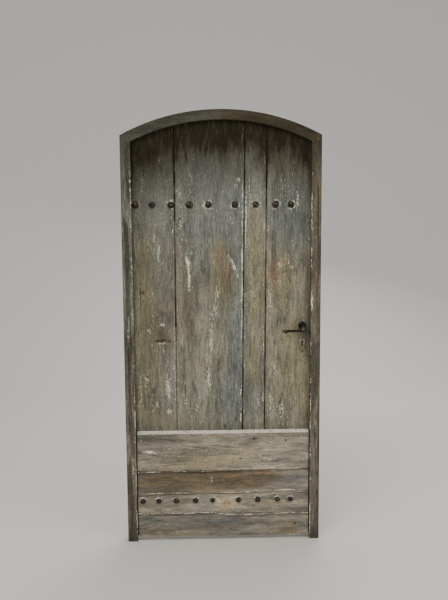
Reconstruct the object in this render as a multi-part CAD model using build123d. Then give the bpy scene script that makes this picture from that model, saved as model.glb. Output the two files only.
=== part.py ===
from build123d import *
import math
import os

# Arched plank door with its wooden frame: four boards under a segmental arch, nailed to two ledges,
# with a nailed apron, strap hinges on pintles and a rim lock. It opens inwards, hinged on the left.
# X runs across the door, the outer face looks towards -Y, Z is up. All sizes are millimetres.
# Y = 0 is the rear plane of frame and planks, Z = 0 the foot of the jambs, X = 0 the middle.

os.makedirs("parts", exist_ok=True)

# frame
clear_width = 890.0
crown_height = 2141.0
arch_radius = 1000.0
jamb_width = 50.0
frame_depth = 60.0
rebate_overlap = 12.0
stop_play = 1.0
arris = 2.0
tenon_width = 20.0
tenon_thickness = 24.0
tenon_height = 24.0
joint_play = 0.1
peg_diameter = 10.0
fixing_hole_diameter = 8.5
fixing_heights = (300.0, 1050.0, 1800.0)

# leaf
leaf_bottom = 20.0
leaf_gap = 4.0
plank_thickness = 30.0
plank_gap = 3.0
tongue_thickness = 8.0
tongue_length = 10.0
tongue_play = 0.3
plank_arris = 2.0
joint_shares_low = (0.239, 0.604, 0.730)
joint_shares_high = (0.243, 0.630, 0.751)

# ledges on the rear face
ledge_height = 110.0
ledge_thickness = 28.0
ledge_bevel = 6.0
ledge_eye_gap = 5.0
ledge_lock_gap = 65.0

# apron on the outer face
apron_thickness = 28.0
apron_top = 570.0
apron_joints = (373.0, 258.0, 143.0)
apron_joint_gap = 1.5
apron_end_gap = 5.0
apron_bevel = 9.0
apron_bevel_depth = 26.0

# forged nails
upper_row_z = 1730.0
lower_row_z = 216.0
upper_nail_shares = (0.029, 0.119, 0.224, 0.324, 0.428, 0.573, 0.687, 0.798, 0.883)
lower_nail_shares = (0.042, 0.132, 0.232, 0.340, 0.438, 0.585, 0.696, 0.808, 0.882)
upper_head_diameters = (31.0, 28.0, 34.0, 36.0, 33.0, 33.0, 33.0, 35.0, 34.0)
lower_head_diameters = (28.0, 27.0, 28.0, 29.0, 26.0, 28.0, 29.0, 27.0, 27.0)
nail_shank = 6.4
nail_hole_play = 0.15
head_height_ratio = 0.32
clinch_length = 24.0
clinch_thickness = 4.5
pin_shares = (0.677, 0.597, 0.855, 0.911)
pin_heights = (540.0, 435.0, 530.0, 84.0)
pin_head_diameter = 9.0
pin_shank = 3.6
pin_length = 44.0
back_nail_shares = (0.12, 0.42, 0.68, 0.86)
back_nail_length = 50.0

# strap hinges and pintles
strap_thickness = 5.0
strap_height = 36.0
strap_end_height = 24.0
strap_tip_gap = 16.0
strap_tip_diameter = 36.0
hinge_offset = 11.0
eye_diameter = 26.0
pintle_diameter = 14.0
pintle_play = 0.05
bearing_play = 0.2
boss_diameter = 24.0
boss_height = 18.0
pintle_rise = 8.0
pintle_plate_width = 30.0
pintle_plate_height = 120.0
pintle_plate_thickness = 5.0
pintle_web = 16.0
clout_shank = 4.6
clout_head = 12.0
clout_head_height = 2.8
clout_length = 30.0
clout_play = 0.15

# lever handle
handle_backset = 47.0
handle_z = 1120.0
lever_reach = 62.0
lever_length = 103.0
elbow_drop = 16.0
bar_drop = 19.5
bar_droop = 3.0
lobe_diameter = 22.0
lobe_sides = 12
knuckle_diameter = 28.0
knuckle_sides = 16
bar_sides = 12
bar_root_diameter = 10.0
bar_end_diameter = 12.6
ring_diameter = 22.0
ring_thickness = 9.0
tip_diameter = 14.0
tip_length = 9.0
neck_diameter = 16.0
neck_seat = 5.0
rose_diameter = 40.0
rose_thickness = 8.0
rose_sides = 24
rose_play = 0.1
spindle_side = 8.0
spindle_play = 0.1
spindle_hole_diameter = 20.0
cross_pin_diameter = 3.0

# rim lock
case_depth = 24.0
case_wall = 2.0
case_width = 89.0
case_edge_gap = 2.0
case_above_handle = 45.0
case_below_key = 45.0
key_drop = 83.0
keyhole_diameter = 10.0
keyhole_slot_width = 5.5
keyhole_slot_drop = 25.0
key_way_width = 14.0
key_way_top = 8.0
key_way_bottom = 30.0
escutcheon_width = 35.0
escutcheon_height = 68.0
escutcheon_thickness = 3.0
escutcheon_foot_width = 24.0
escutcheon_rise = 17.0
escutcheon_pin_spacing = 58.0
small_pin = 2.4
small_pin_head = 6.0
small_pin_length = 14.0
bolt_front_y = 4.0
bolt_thickness = 14.0
bolt_play = 0.3
follower_diameter = 20.0
follower_thickness = 14.0
follower_arm_length = 20.0
follower_arm_width = 5.0
arm_gap = 0.9
latch_rise = 12.0
latch_height = 15.0
latch_tail = 26.0
latch_projection = 13.0
latch_notch_depth = 10.0
latch_notch_run = 20.0
deadbolt_rise = 14.0
deadbolt_height = 20.0
deadbolt_tail = 34.0
deadbolt_set_back = 1.0
talon_diameter = 14.0
spring_strip = 0.8
spring_width = 8.0
spring_foot = 10.0
keeper_gap = 1.0
keeper_width = 27.0
keeper_wall = 4.0
keeper_margin = 9.0
pocket_play = 1.0

# derived planes and edges
half_clear = clear_width / 2
half_rebate = half_clear + rebate_overlap
half_frame = half_clear + jamb_width
half_leaf = half_rebate - leaf_gap
leaf_width = 2 * half_leaf
arch_centre_z = crown_height - arch_radius
spring_z = arch_centre_z + math.sqrt(arch_radius**2 - half_clear**2)
leaf_radius = arch_radius + rebate_overlap - leaf_gap
crown_top = arch_centre_z + arch_radius + jamb_width
frame_front = -frame_depth
plank_front = -plank_thickness
stop_back = plank_front - stop_play
apron_front = plank_front - apron_thickness
half_apron = half_clear - apron_end_gap
strap_back = ledge_thickness + strap_thickness
hinge_x = -half_leaf - hinge_offset
hinge_y = ledge_thickness + strap_thickness / 2
ledge_left = hinge_x + eye_diameter / 2 + ledge_eye_gap
ledge_right = half_leaf - ledge_lock_gap
strap_right = ledge_right - strap_tip_gap
joint_low = [share * leaf_width - half_leaf for share in joint_shares_low]
joint_high = [share * leaf_width - half_leaf for share in joint_shares_high]
upper_nail_x = [share * leaf_width - half_leaf for share in upper_nail_shares]
lower_nail_x = [share * leaf_width - half_leaf for share in lower_nail_shares]
back_nail_rows = (sum(apron_joints[:2]) / 2, (leaf_bottom + apron_joints[2]) / 2)
back_nail_spots = [
    (share * leaf_width - half_leaf, z) for share in back_nail_shares for z in back_nail_rows
]
pin_spots = [(share * leaf_width - half_leaf, z) for share, z in zip(pin_shares, pin_heights)]
tenon_x = (half_rebate + half_frame) / 2
peg_z = spring_z + tenon_height / 2
key_z = handle_z - key_drop
handle_x = half_leaf - handle_backset
case_right = half_leaf - case_edge_gap
case_left = case_right - case_width
case_bottom = key_z - case_below_key
case_top = handle_z + case_above_handle
lever_y = plank_front - lever_reach + knuckle_diameter / 2
lever_y_inside = -lever_y
latch_low = handle_z + latch_rise
latch_high = latch_low + latch_height
bolt_low = key_z + deadbolt_rise
bolt_high = bolt_low + deadbolt_height
bolt_back_y = bolt_front_y + bolt_thickness


def slab(outline, y_front, y_back):
    # an outline drawn in X and Z, given a thickness along Y
    return extrude(Plane.XZ.offset(-y_back) * outline, y_back - y_front)


def run(outline, x_left, x_right):
    # a section drawn in Y and Z, drawn out along X
    return extrude(Plane.YZ.offset(x_left) * outline, x_right - x_left)


def block(x0, x1, y0, y1, z0, z1):
    return Pos((x0 + x1) / 2, (y0 + y1) / 2, (z0 + z1) / 2) * Box(x1 - x0, y1 - y0, z1 - z0)


def rod_y(x, z, diameter, y0, y1):
    return Pos(x, (y0 + y1) / 2, z) * Rot(90, 0, 0) * Cylinder(diameter / 2, y1 - y0)


def rod_x(y, z, diameter, x0, x1):
    return Pos((x0 + x1) / 2, y, z) * Rot(0, 90, 0) * Cylinder(diameter / 2, x1 - x0)


def rod_z(x, y, diameter, z0, z1):
    return Pos(x, y, (z0 + z1) / 2) * Cylinder(diameter / 2, z1 - z0)


def rectangle(x0, x1, z0, z1):
    return Pos((x0 + x1) / 2, (z0 + z1) / 2) * Rectangle(x1 - x0, z1 - z0)


def disc(x, z, diameter):
    return Pos(x, z) * Circle(diameter / 2)


def arched(half, low, radius):
    # straight sides up from low, closed by an arc struck from the arch's centre
    edge = arch_centre_z + math.sqrt(radius**2 - half**2)
    left = (-half, edge)
    right = (half, edge)
    lines = Polyline(left, (-half, low), (half, low), right)
    arc = ThreePointArc(right, (0, arch_centre_z + radius), left)
    return make_face([*lines.edges(), arc])


def peg(x, z, across, y0, y1):
    # an eight-sided drawbore peg, pared by hand
    return slab(Pos(x, z) * RegularPolygon(across / 2, 8), y0, y1)


def square_rod(x, z, side, y0, y1):
    return block(x - side / 2, x + side / 2, y0, y1, z - side / 2, z + side / 2)


def save(name, *solids):
    shape = solids[0] if len(solids) == 1 else Compound(children=list(solids))
    export_step(shape, "parts/" + name + ".step")


# Jambs: an L section, stop in front and rebate behind, with a tenon up into the head.
def jamb(side):
    edge = half_clear + arris
    section = Polygon(
        (edge, frame_front),
        (half_frame, frame_front),
        (half_frame, 0),
        (half_rebate, 0),
        (half_rebate, stop_back),
        (half_clear, stop_back),
        (half_clear, frame_front + arris),
        align=None,
    )
    post = extrude(section, spring_z)
    tenon_y = frame_front / 2
    tenon = block(
        tenon_x - tenon_width / 2,
        tenon_x + tenon_width / 2,
        tenon_y - tenon_thickness / 2,
        tenon_y + tenon_thickness / 2,
        spring_z,
        spring_z + tenon_height,
    )
    post += tenon
    post -= peg(tenon_x, peg_z, peg_diameter + 2 * joint_play, frame_front, 0)
    for height in fixing_heights:
        hole = rod_x(stop_back / 2, height, fixing_hole_diameter, half_clear, half_frame)
        post -= hole
    if side < 0:
        post = mirror(post, about=Plane.YZ)
    return post


left_jamb = jamb(-1)
right_jamb = jamb(1)

# Arched head: one curved board with the same stop and rebate, mortised for the jamb tenons.
head_outline = arched(half_frame, spring_z, arch_radius + jamb_width)
stop_cut = arched(half_clear, spring_z - 1, arch_radius)
rebate_cut = arched(half_rebate, spring_z - 1, arch_radius + rebate_overlap)
arched_head = slab(head_outline, frame_front, 0)
arched_head -= slab(stop_cut, frame_front, stop_back)
arched_head -= slab(rebate_cut, stop_back, 0)
crown_arris = arched_head.edges().filter_by(GeomType.CIRCLE).filter_by(
    lambda e: abs(e.radius - arch_radius) < 0.01 and abs(e.center().Y - frame_front) < 0.01
)
arched_head = chamfer(crown_arris, arris)
for side in (-1, 1):
    mortise = block(
        side * tenon_x - tenon_width / 2 - joint_play,
        side * tenon_x + tenon_width / 2 + joint_play,
        frame_front / 2 - tenon_thickness / 2 - joint_play,
        frame_front / 2 + tenon_thickness / 2 + joint_play,
        spring_z,
        spring_z + tenon_height + joint_play,
    )
    arched_head -= mortise
    arched_head -= peg(side * tenon_x, peg_z, peg_diameter + 2 * joint_play, frame_front, 0)
head_pegs = [peg(side * tenon_x, peg_z, peg_diameter, frame_front, 0) for side in (-1, 1)]

# Leaf outline: straight sides under an arch struck from the same centre as the head.
leaf_outline = arched(half_leaf, leaf_bottom, leaf_radius)
leaf_crown = arch_centre_z + leaf_radius


def strip(low_left, high_left, low_right, high_right):
    # the part of the leaf between two slightly slanted joint lines
    outline = Polygon(
        (low_left, leaf_bottom),
        (low_right, leaf_bottom),
        (high_right, leaf_crown),
        (high_left, leaf_crown),
        align=None,
    )
    return outline & leaf_outline


nail_hole = nail_shank + 2 * nail_hole_play


def nail_holes(xs, z, y_front, y_back):
    hole = nail_hole / 2
    return [block(x - hole, x + hole, y_front, y_back, z - hole, z + hole) for x in xs]


def plank(low_left, high_left, low_right, high_right, groove_left, tongue_right):
    gap = plank_gap / 2
    left = gap if groove_left else 0
    right = gap if tongue_right else 0
    board = slab(
        strip(low_left + left, high_left + left, low_right - right, high_right - right),
        plank_front,
        0,
    )
    fronts = board.edges().filter_by(
        lambda e: e.geom_type == GeomType.LINE
        and abs(e.center().Y - plank_front) < 0.01
        and e.length > clear_width
    )
    board = chamfer(fronts, plank_arris)
    middle = plank_front / 2
    if tongue_right:
        tongue = strip(
            low_right - gap - 1,
            high_right - gap - 1,
            low_right - gap + tongue_length,
            high_right - gap + tongue_length,
        )
        board += slab(tongue, middle - tongue_thickness / 2, middle + tongue_thickness / 2)
    if groove_left:
        reach = tongue_length - plank_gap + tongue_play
        groove = strip(low_left - 1, high_left - 1, low_left + gap + reach, high_left + gap + reach)
        groove_half = tongue_thickness / 2 + tongue_play / 2
        board -= slab(groove, middle - groove_half, middle + groove_half)
    for hole in nail_holes(upper_nail_x, upper_row_z, plank_front, 0):
        board -= hole
    for hole in nail_holes(lower_nail_x, lower_row_z, plank_front, 0):
        board -= hole
    for x, z in pin_spots:
        board -= square_rod(x, z, pin_shank, plank_front, apron_front + pin_length)
    for x, z in back_nail_spots:
        board -= square_rod(x, z, clout_shank, plank_front, 0)
    return board


hinge_side_plank = plank(-half_leaf, -half_leaf, joint_low[0], joint_high[0], False, True)
wide_plank = plank(joint_low[0], joint_high[0], joint_low[1], joint_high[1], True, True)
narrow_plank = plank(joint_low[1], joint_high[1], joint_low[2], joint_high[2], True, True)
lock_side_plank = plank(joint_low[2], joint_high[2], half_leaf, half_leaf, True, False)
key_way = rectangle(
    handle_x - key_way_width / 2,
    handle_x + key_way_width / 2,
    key_z - key_way_bottom,
    key_z + key_way_top,
)
lock_side_plank -= rod_y(handle_x, handle_z, spindle_hole_diameter, plank_front, 0)
lock_side_plank -= slab(key_way, plank_front, 0)

# Two ledges across the back, bevelled along both long edges.


def ledge(z, nail_x):
    low = z - ledge_height / 2
    high = z + ledge_height / 2
    section = Polygon(
        (0, low),
        (ledge_thickness - ledge_bevel, low),
        (ledge_thickness, low + ledge_bevel),
        (ledge_thickness, high - ledge_bevel),
        (ledge_thickness - ledge_bevel, high),
        (0, high),
        align=None,
    )
    bar = run(section, ledge_left, ledge_right)
    for hole in nail_holes(nail_x, z, 0, ledge_thickness):
        bar -= hole
    return bar


upper_ledge = ledge(upper_row_z, upper_nail_x)
lower_ledge = ledge(lower_row_z, lower_nail_x)

# Apron: four boards across the foot of the leaf, the top one bevelled to shed rain.


def apron_board(low, high, top_bevel, foot_bevel):
    section = Polygon(
        (plank_front, low),
        (plank_front, high),
        (apron_front + apron_bevel_depth, high) if top_bevel > arris else (apron_front + arris, high),
        (apron_front, high - top_bevel),
        (apron_front, low + foot_bevel),
        (apron_front + foot_bevel, low),
        align=None,
    )
    board = run(section, -half_apron, half_apron)
    if low < lower_row_z < high:
        for hole in nail_holes(lower_nail_x, lower_row_z, apron_front, plank_front):
            board -= hole
    for x, z in pin_spots:
        if low < z < high:
            board -= square_rod(x, z, pin_shank, apron_front, plank_front)
    for x, z in back_nail_spots:
        if low < z < high:
            board -= square_rod(x, z, clout_shank, -back_nail_length, plank_front)
    return board


lap = apron_joint_gap / 2
apron_top_board = apron_board(apron_joints[0] + lap, apron_top + apron_bevel, apron_bevel, arris)
apron_second_board = apron_board(apron_joints[1] + lap, apron_joints[0] - lap, arris, arris)
apron_third_board = apron_board(apron_joints[2] + lap, apron_joints[1] - lap, arris, arris)
apron_bottom_board = apron_board(leaf_bottom, apron_joints[2] - lap, arris, 2 * arris)

# Forged nails: hammered eight-sided heads, square shanks, points clinched down over the strap.


def outward_plane(x, y, z, outwards):
    # a drawing plane that faces out of the door, or into the room
    return Plane(origin=(x, y, z), x_dir=(1, 0, 0), z_dir=(0, outwards, 0))


def faceted_head(x, z, diameter, sides, height, flat, face_y, outwards):
    # a prism whose outer edges are beaten down at 45 degrees, by flat
    prism = extrude(outward_plane(x, face_y, z, outwards) * RegularPolygon(diameter / 2, sides), height)
    outer = prism.edges().filter_by(lambda e: abs(e.center().Y - face_y - outwards * height) < 0.01)
    return chamfer(outer, flat)


def forged_nail(x, z, diameter, face_y):
    height = diameter * head_height_ratio
    nail = faceted_head(x, z, diameter, 8, height, 0.7 * height, face_y, -1)
    half = nail_shank / 2
    root = face_y - height / 3
    nail += block(x - half, x + half, root, strap_back + clinch_thickness / 2, z - half, z + half)
    clinch = Polygon(
        (strap_back, z + half),
        (strap_back + clinch_thickness, z + half - 1),
        (strap_back + clinch_thickness, z - half),
        (strap_back + clinch_thickness / 3, z - clinch_length),
        (strap_back, z - clinch_length),
        align=None,
    )
    return nail + run(clinch, x - half, x + half)


upper_nails = [
    forged_nail(x, upper_row_z, d, plank_front) for x, d in zip(upper_nail_x, upper_head_diameters)
]
lower_nails = [
    forged_nail(x, lower_row_z, d, apron_front) for x, d in zip(lower_nail_x, lower_head_diameters)
]


def small_nail(x, z, head, height, shank, face_y, outwards, length):
    # a low six-sided head on a square shank
    cap = faceted_head(x, z, head, 6, height, 0.6 * height, face_y, outwards)
    ends = sorted((face_y + outwards * height / 3, face_y - outwards * length))
    return cap + square_rod(x, z, shank, *ends)


apron_pins = [
    small_nail(x, z, pin_head_diameter, pin_head_diameter / 4, pin_shank, apron_front, -1, pin_length)
    for x, z in pin_spots
]

# Clout nails from the room side hold the apron boards that show no nail outside.
def clout(x, z, seat_y, length):
    return small_nail(x, z, clout_head, clout_head_height, clout_shank, seat_y, 1, length)


apron_back_nails = [clout(x, z, 0, back_nail_length) for x, z in back_nail_spots]

# Strap hinges: a tapered strap with a round tip, rolled to an eye that drops over the pintle.


def strap_hinge(z, nail_x):
    tip_x = strap_right - strap_tip_diameter / 2
    outline = Polygon(
        (hinge_x, z - strap_height / 2),
        (tip_x, z - strap_end_height / 2),
        (tip_x, z + strap_end_height / 2),
        (hinge_x, z + strap_height / 2),
        align=None,
    )
    outline += disc(tip_x, z, strap_tip_diameter)
    hinge = slab(outline, ledge_thickness, strap_back)
    hinge += rod_z(hinge_x, hinge_y, eye_diameter, z - strap_height / 2, z + strap_height / 2)
    bore = pintle_diameter + 2 * pintle_play
    hinge -= rod_z(hinge_x, hinge_y, bore, z - strap_height / 2, z + strap_height / 2)
    for hole in nail_holes(nail_x, z, ledge_thickness, strap_back):
        hinge -= hole
    return hinge


upper_strap = strap_hinge(upper_row_z, upper_nail_x)
lower_strap = strap_hinge(lower_row_z, lower_nail_x)

clout_hole = clout_shank + 2 * clout_play

# Pintles: a plate nailed to the jamb's rear face, a web, a boss and the pin the eye turns on.
plate_middle = -half_frame + jamb_width / 2 - rebate_overlap / 2


def pintle_nail_heights(z):
    top = boss_top(z)
    low = top - boss_height
    return (low - 14, low - 44, low - 74)


def boss_top(z):
    return z - strap_height / 2 - bearing_play


def pintle(z):
    top = boss_top(z)
    plate = block(
        plate_middle - pintle_plate_width / 2,
        plate_middle + pintle_plate_width / 2,
        0,
        pintle_plate_thickness,
        top - pintle_plate_height,
        top,
    )
    web = block(hinge_x - pintle_web / 2, hinge_x + pintle_web / 2, 0, hinge_y, top - boss_height, top)
    boss = rod_z(hinge_x, hinge_y, boss_diameter, top - boss_height, top)
    pin = rod_z(hinge_x, hinge_y, pintle_diameter, top, z + strap_height / 2 + pintle_rise)
    pin = chamfer(pin.edges().group_by(Axis.Z)[-1], 2)
    iron = plate + web + boss + pin
    for height in pintle_nail_heights(z):
        iron -= square_rod(plate_middle, height, clout_hole, 0, pintle_plate_thickness)
    return iron


upper_pintle = pintle(upper_row_z)
lower_pintle = pintle(lower_row_z)


pintle_nails = []
for row_z in (upper_row_z, lower_row_z):
    for height in pintle_nail_heights(row_z):
        pintle_nails.append(clout(plate_middle, height, pintle_plate_thickness, clout_length))
        left_jamb -= square_rod(
            plate_middle, height, clout_shank, pintle_plate_thickness - clout_length, 0
        )

# Rim lock case: a folded iron box, open towards the planks, with slots for the two bolts.
lock_case = block(case_left, case_right, 0, case_depth, case_bottom, case_top)
lock_case = chamfer(
    lock_case.edges().filter_by(lambda e: abs(e.center().Y - case_depth) < 0.01), case_wall / 2
)
lock_case -= block(
    case_left + case_wall,
    case_right - case_wall,
    0,
    case_depth - case_wall,
    case_bottom + case_wall,
    case_top - case_wall,
)
lock_case -= block(
    case_right - case_wall,
    case_right,
    bolt_front_y - bolt_play,
    bolt_back_y + bolt_play,
    latch_low - bolt_play,
    latch_high + bolt_play,
)
lock_case -= block(
    case_right - case_wall,
    case_right,
    bolt_front_y - bolt_play,
    bolt_back_y + bolt_play,
    bolt_low - bolt_play,
    bolt_high + bolt_play,
)
keyhole = disc(handle_x, key_z, keyhole_diameter) + rectangle(
    handle_x - keyhole_slot_width / 2,
    handle_x + keyhole_slot_width / 2,
    key_z - keyhole_slot_drop,
    key_z,
)
lock_case -= slab(keyhole, case_depth - case_wall, case_depth)
cover_bore = neck_diameter + 2 * rose_play
lock_case -= rod_y(handle_x, handle_z, cover_bore, case_depth - case_wall, case_depth)
case_nail_inset = case_wall + clout_shank
case_nail_spots = [
    (x, z)
    for x in (case_left + case_nail_inset, case_right - case_nail_inset)
    for z in (case_bottom + case_nail_inset, case_top - case_nail_inset)
]
lock_case_nails = []
for x, z in case_nail_spots:
    lock_case -= square_rod(x, z, clout_hole, case_depth - case_wall, case_depth)
    lock_case_nails.append(clout(x, z, case_depth, case_depth + clout_length / 2))
    lock_side_plank -= square_rod(x, z, clout_shank, -clout_length / 2, 0)

# Escutcheon over the keyhole on the outer face: an egg-shaped plate held by two pins.
escutcheon_top = key_z + escutcheon_rise
crown_circle = disc(handle_x, escutcheon_top - escutcheon_width / 2, escutcheon_width)
foot_z = escutcheon_top - escutcheon_height + escutcheon_foot_width / 2
foot_circle = disc(handle_x, foot_z, escutcheon_foot_width)
oval = make_hull([*crown_circle.edges(), *foot_circle.edges()])
escutcheon = slab(oval, plank_front - escutcheon_thickness, plank_front)
front_rim = escutcheon.edges().filter_by(
    lambda e: abs(e.center().Y - plank_front + escutcheon_thickness) < 0.01
)
escutcheon = chamfer(front_rim, escutcheon_thickness / 2)
escutcheon -= slab(keyhole, plank_front - escutcheon_thickness, plank_front)
escutcheon_pins = []
escutcheon_middle = escutcheon_top - escutcheon_height / 2
for step in (-1, 1):
    z = escutcheon_middle + step * escutcheon_pin_spacing / 2
    face = plank_front - escutcheon_thickness
    escutcheon -= square_rod(handle_x, z, small_pin, face, plank_front)
    lock_side_plank -= square_rod(handle_x, z, small_pin, plank_front, face + small_pin_length)
    escutcheon_pins.append(
        small_nail(
            handle_x, z, small_pin_head, small_pin_head / 4, small_pin, face, -1, small_pin_length
        )
    )


# Roses: round plates with a broad bevelled rim and a bore for the lever's neck.
def rose(face_y, outwards):
    plate = faceted_head(
        handle_x,
        handle_z,
        rose_diameter,
        rose_sides,
        rose_thickness,
        rose_thickness / 2,
        face_y,
        outwards,
    )
    ends = sorted((face_y, face_y + outwards * rose_thickness))
    return plate - rod_y(handle_x, handle_z, neck_diameter + 2 * rose_play, *ends)


outer_rose = rose(plank_front, -1)
inner_rose = rose(case_depth, 1)


# Levers: a round neck, a knuckle that hangs below it and a drooping bar with a ring and a small tip.
def bar_section(x, diameter, centre_y):
    z = handle_z - bar_drop - bar_droop * (handle_x - x) / lever_length
    plane = Plane(origin=(x, centre_y, z), x_dir=(0, 1, 0), z_dir=(-1, 0, 0))
    return plane * RegularPolygon(diameter / 2, bar_sides)


def hub_outline():
    lobe = RegularPolygon(lobe_diameter / 2, lobe_sides)
    knuckle = RegularPolygon(knuckle_diameter / 2, knuckle_sides)
    upper = Pos(handle_x, handle_z) * lobe
    lower = Pos(handle_x, handle_z - elbow_drop) * knuckle
    return make_hull([*upper.edges(), *lower.edges()])


def lever(face_y, centre_y):
    outwards = 1 if centre_y > face_y else -1
    knuckle = knuckle_diameter / 2
    neck_start = face_y + outwards * (rose_thickness - neck_seat)
    neck_ends = sorted((neck_start, centre_y))
    body = rod_y(handle_x, handle_z, neck_diameter, *neck_ends)
    hub = slab(hub_outline(), centre_y - knuckle, centre_y + knuckle)
    rims = hub.edges().group_by(Axis.Y)
    body += chamfer([*rims[0], *rims[-1]], 0.35 * knuckle)
    tip_x = handle_x - lever_length
    ring_x = tip_x + tip_length + ring_thickness
    body += loft(
        [
            bar_section(handle_x, bar_root_diameter, centre_y),
            bar_section(ring_x - ring_thickness / 2, bar_end_diameter, centre_y),
        ],
        ruled=True,
    )
    ring = extrude(bar_section(ring_x, ring_diameter, centre_y), ring_thickness)
    rims = ring.edges().group_by(Axis.X)
    ring = chamfer([*rims[0], *rims[-1]], 0.35 * ring_thickness)
    tip = extrude(bar_section(tip_x + tip_length + 1, tip_diameter, centre_y), tip_length + 1)
    tip = chamfer(tip.edges().group_by(Axis.X)[0], 0.3 * tip_diameter)
    body += ring
    body += tip
    half = spindle_side / 2 + spindle_play
    deep = centre_y + outwards * spindle_side / 2
    ends = sorted((neck_start, deep))
    body -= block(
        handle_x - half, handle_x + half, ends[0], ends[1], handle_z - half, handle_z + half
    )
    body -= rod_z(
        handle_x,
        centre_y,
        cross_pin_diameter,
        handle_z - cross_pin_half,
        handle_z + lobe_diameter / 2,
    )
    return body


cross_pin_half = 0.94 * lobe_diameter / 2
outer_lever = lever(plank_front, lever_y)
inner_lever = lever(case_depth, lever_y_inside)
spindle_end = lever_y_inside + spindle_side / 2 - joint_play
half_spindle = spindle_side / 2
spindle = block(
    handle_x - half_spindle,
    handle_x + half_spindle,
    -spindle_end,
    spindle_end,
    handle_z - half_spindle,
    handle_z + half_spindle,
)
lever_pins = []
for y in (lever_y, lever_y_inside):
    pin = rod_z(handle_x, y, cross_pin_diameter, handle_z - cross_pin_half, handle_z + cross_pin_half)
    spindle -= pin
    lever_pins.append(pin)

# Follower: a hub on the spindle with one arm that draws the latch back.
follower_front = bolt_front_y
follower = rod_y(
    handle_x, handle_z, follower_diameter, follower_front, follower_front + follower_thickness
)
follower += block(
    handle_x - follower_arm_width / 2,
    handle_x + follower_arm_width / 2,
    follower_front,
    follower_front + follower_thickness,
    handle_z,
    handle_z + follower_arm_length,
)
socket = half_spindle + spindle_play
follower -= block(
    handle_x - socket,
    handle_x + socket,
    follower_front,
    follower_front + follower_thickness,
    handle_z - socket,
    handle_z + socket,
)

# Latch bolt: bevelled nose, and a notch in its underside that the follower's arm works in.
latch_start = handle_x - latch_tail
latch_nose = half_leaf + latch_projection
latch_plan = Polygon(
    (latch_start, bolt_front_y),
    (latch_nose - bolt_thickness + 2, bolt_front_y),
    (latch_nose, bolt_back_y - 2),
    (latch_nose, bolt_back_y),
    (latch_start, bolt_back_y),
    align=None,
)
latch_bolt = extrude(Plane.XY.offset(latch_low) * latch_plan, latch_height)
latch_bolt -= block(
    handle_x - follower_arm_width / 2 - arm_gap,
    handle_x + latch_notch_run,
    bolt_front_y,
    bolt_back_y,
    latch_low,
    latch_low + latch_notch_depth,
)

# Flat spring: its foot lies on the case wall and its free end bears on the latch's tail.
spring_x = case_left + case_wall + spring_strip / 2
spring_top = case_top - case_wall - 1
spring_line = Polyline(
    (spring_x, spring_top),
    (spring_x, spring_top - spring_foot),
    (latch_start - spring_strip, latch_low + latch_height / 2),
)
spring_y = bolt_front_y + bolt_thickness / 2
latch_spring = slab(
    trace(spring_line, spring_strip), spring_y - spring_width / 2, spring_y + spring_width / 2
)

# Deadbolt: thrown by the key, with a rounded talon notch in its underside.
deadbolt_left = handle_x - deadbolt_tail
deadbolt_right = case_right - deadbolt_set_back
deadbolt = block(deadbolt_left, deadbolt_right, bolt_front_y, bolt_back_y, bolt_low, bolt_high)
deadbolt -= rod_y(handle_x, bolt_low, talon_diameter, bolt_front_y, bolt_back_y)

# Keeper on the jamb's rear face: a box staple with one pocket for each bolt.
keeper_left = half_rebate + keeper_gap
keeper_right = keeper_left + keeper_width
keeper_low = bolt_low - keeper_margin - clout_head
keeper_high = latch_high + keeper_margin + clout_head
lock_keeper = block(keeper_left, keeper_right, 0, case_depth, keeper_low, keeper_high)
lock_keeper = chamfer(
    lock_keeper.edges().filter_by(lambda e: abs(e.center().Y - case_depth) < 0.01), keeper_wall / 2
)
for low, high in ((latch_low, latch_high), (bolt_low, bolt_high)):
    lock_keeper -= block(
        keeper_left,
        keeper_right - keeper_wall,
        0,
        case_depth - keeper_wall,
        low - pocket_play,
        high + pocket_play,
    )
keeper_nail_x = keeper_left + keeper_width / 2
keeper_nail_heights = (
    keeper_low + clout_head * 0.75,
    (bolt_high + latch_low) / 2,
    keeper_high - clout_head * 0.75,
)
keeper_nails = []
for height in keeper_nail_heights:
    lock_keeper -= square_rod(keeper_nail_x, height, clout_hole, 0, case_depth)
    keeper_nails.append(clout(keeper_nail_x, height, case_depth, case_depth + clout_length / 2))
    right_jamb -= square_rod(keeper_nail_x, height, clout_shank, -clout_length / 2, 0)

save("left_jamb", left_jamb)
save("right_jamb", right_jamb)
save("arched_head", arched_head)
save("head_pegs", *head_pegs)
save("upper_pintle", upper_pintle)
save("lower_pintle", lower_pintle)
save("pintle_nails", *pintle_nails)
save("lock_keeper", lock_keeper)
save("keeper_nails", *keeper_nails)
save("hinge_side_plank", hinge_side_plank)
save("wide_plank", wide_plank)
save("narrow_plank", narrow_plank)
save("lock_side_plank", lock_side_plank)
save("upper_ledge", upper_ledge)
save("lower_ledge", lower_ledge)
save("apron_top_board", apron_top_board)
save("apron_second_board", apron_second_board)
save("apron_third_board", apron_third_board)
save("apron_bottom_board", apron_bottom_board)
save("upper_nails", *upper_nails)
save("lower_nails", *lower_nails)
save("apron_pins", *apron_pins)
save("apron_back_nails", *apron_back_nails)
save("upper_strap", upper_strap)
save("lower_strap", lower_strap)
save("lock_case", lock_case)
save("lock_case_nails", *lock_case_nails)
save("escutcheon", escutcheon)
save("escutcheon_pins", *escutcheon_pins)
save("outer_rose", outer_rose)
save("inner_rose", inner_rose)
save("outer_lever", outer_lever)
save("inner_lever", inner_lever)
save("spindle", spindle)
save("lever_pins", *lever_pins)
save("follower", follower)
save("latch_bolt", latch_bolt)
save("latch_spring", latch_spring)
save("deadbolt", deadbolt)
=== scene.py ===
import math
import random

import bmesh
import bpy
import numpy as np
from mathutils import Matrix, Vector, noise


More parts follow.
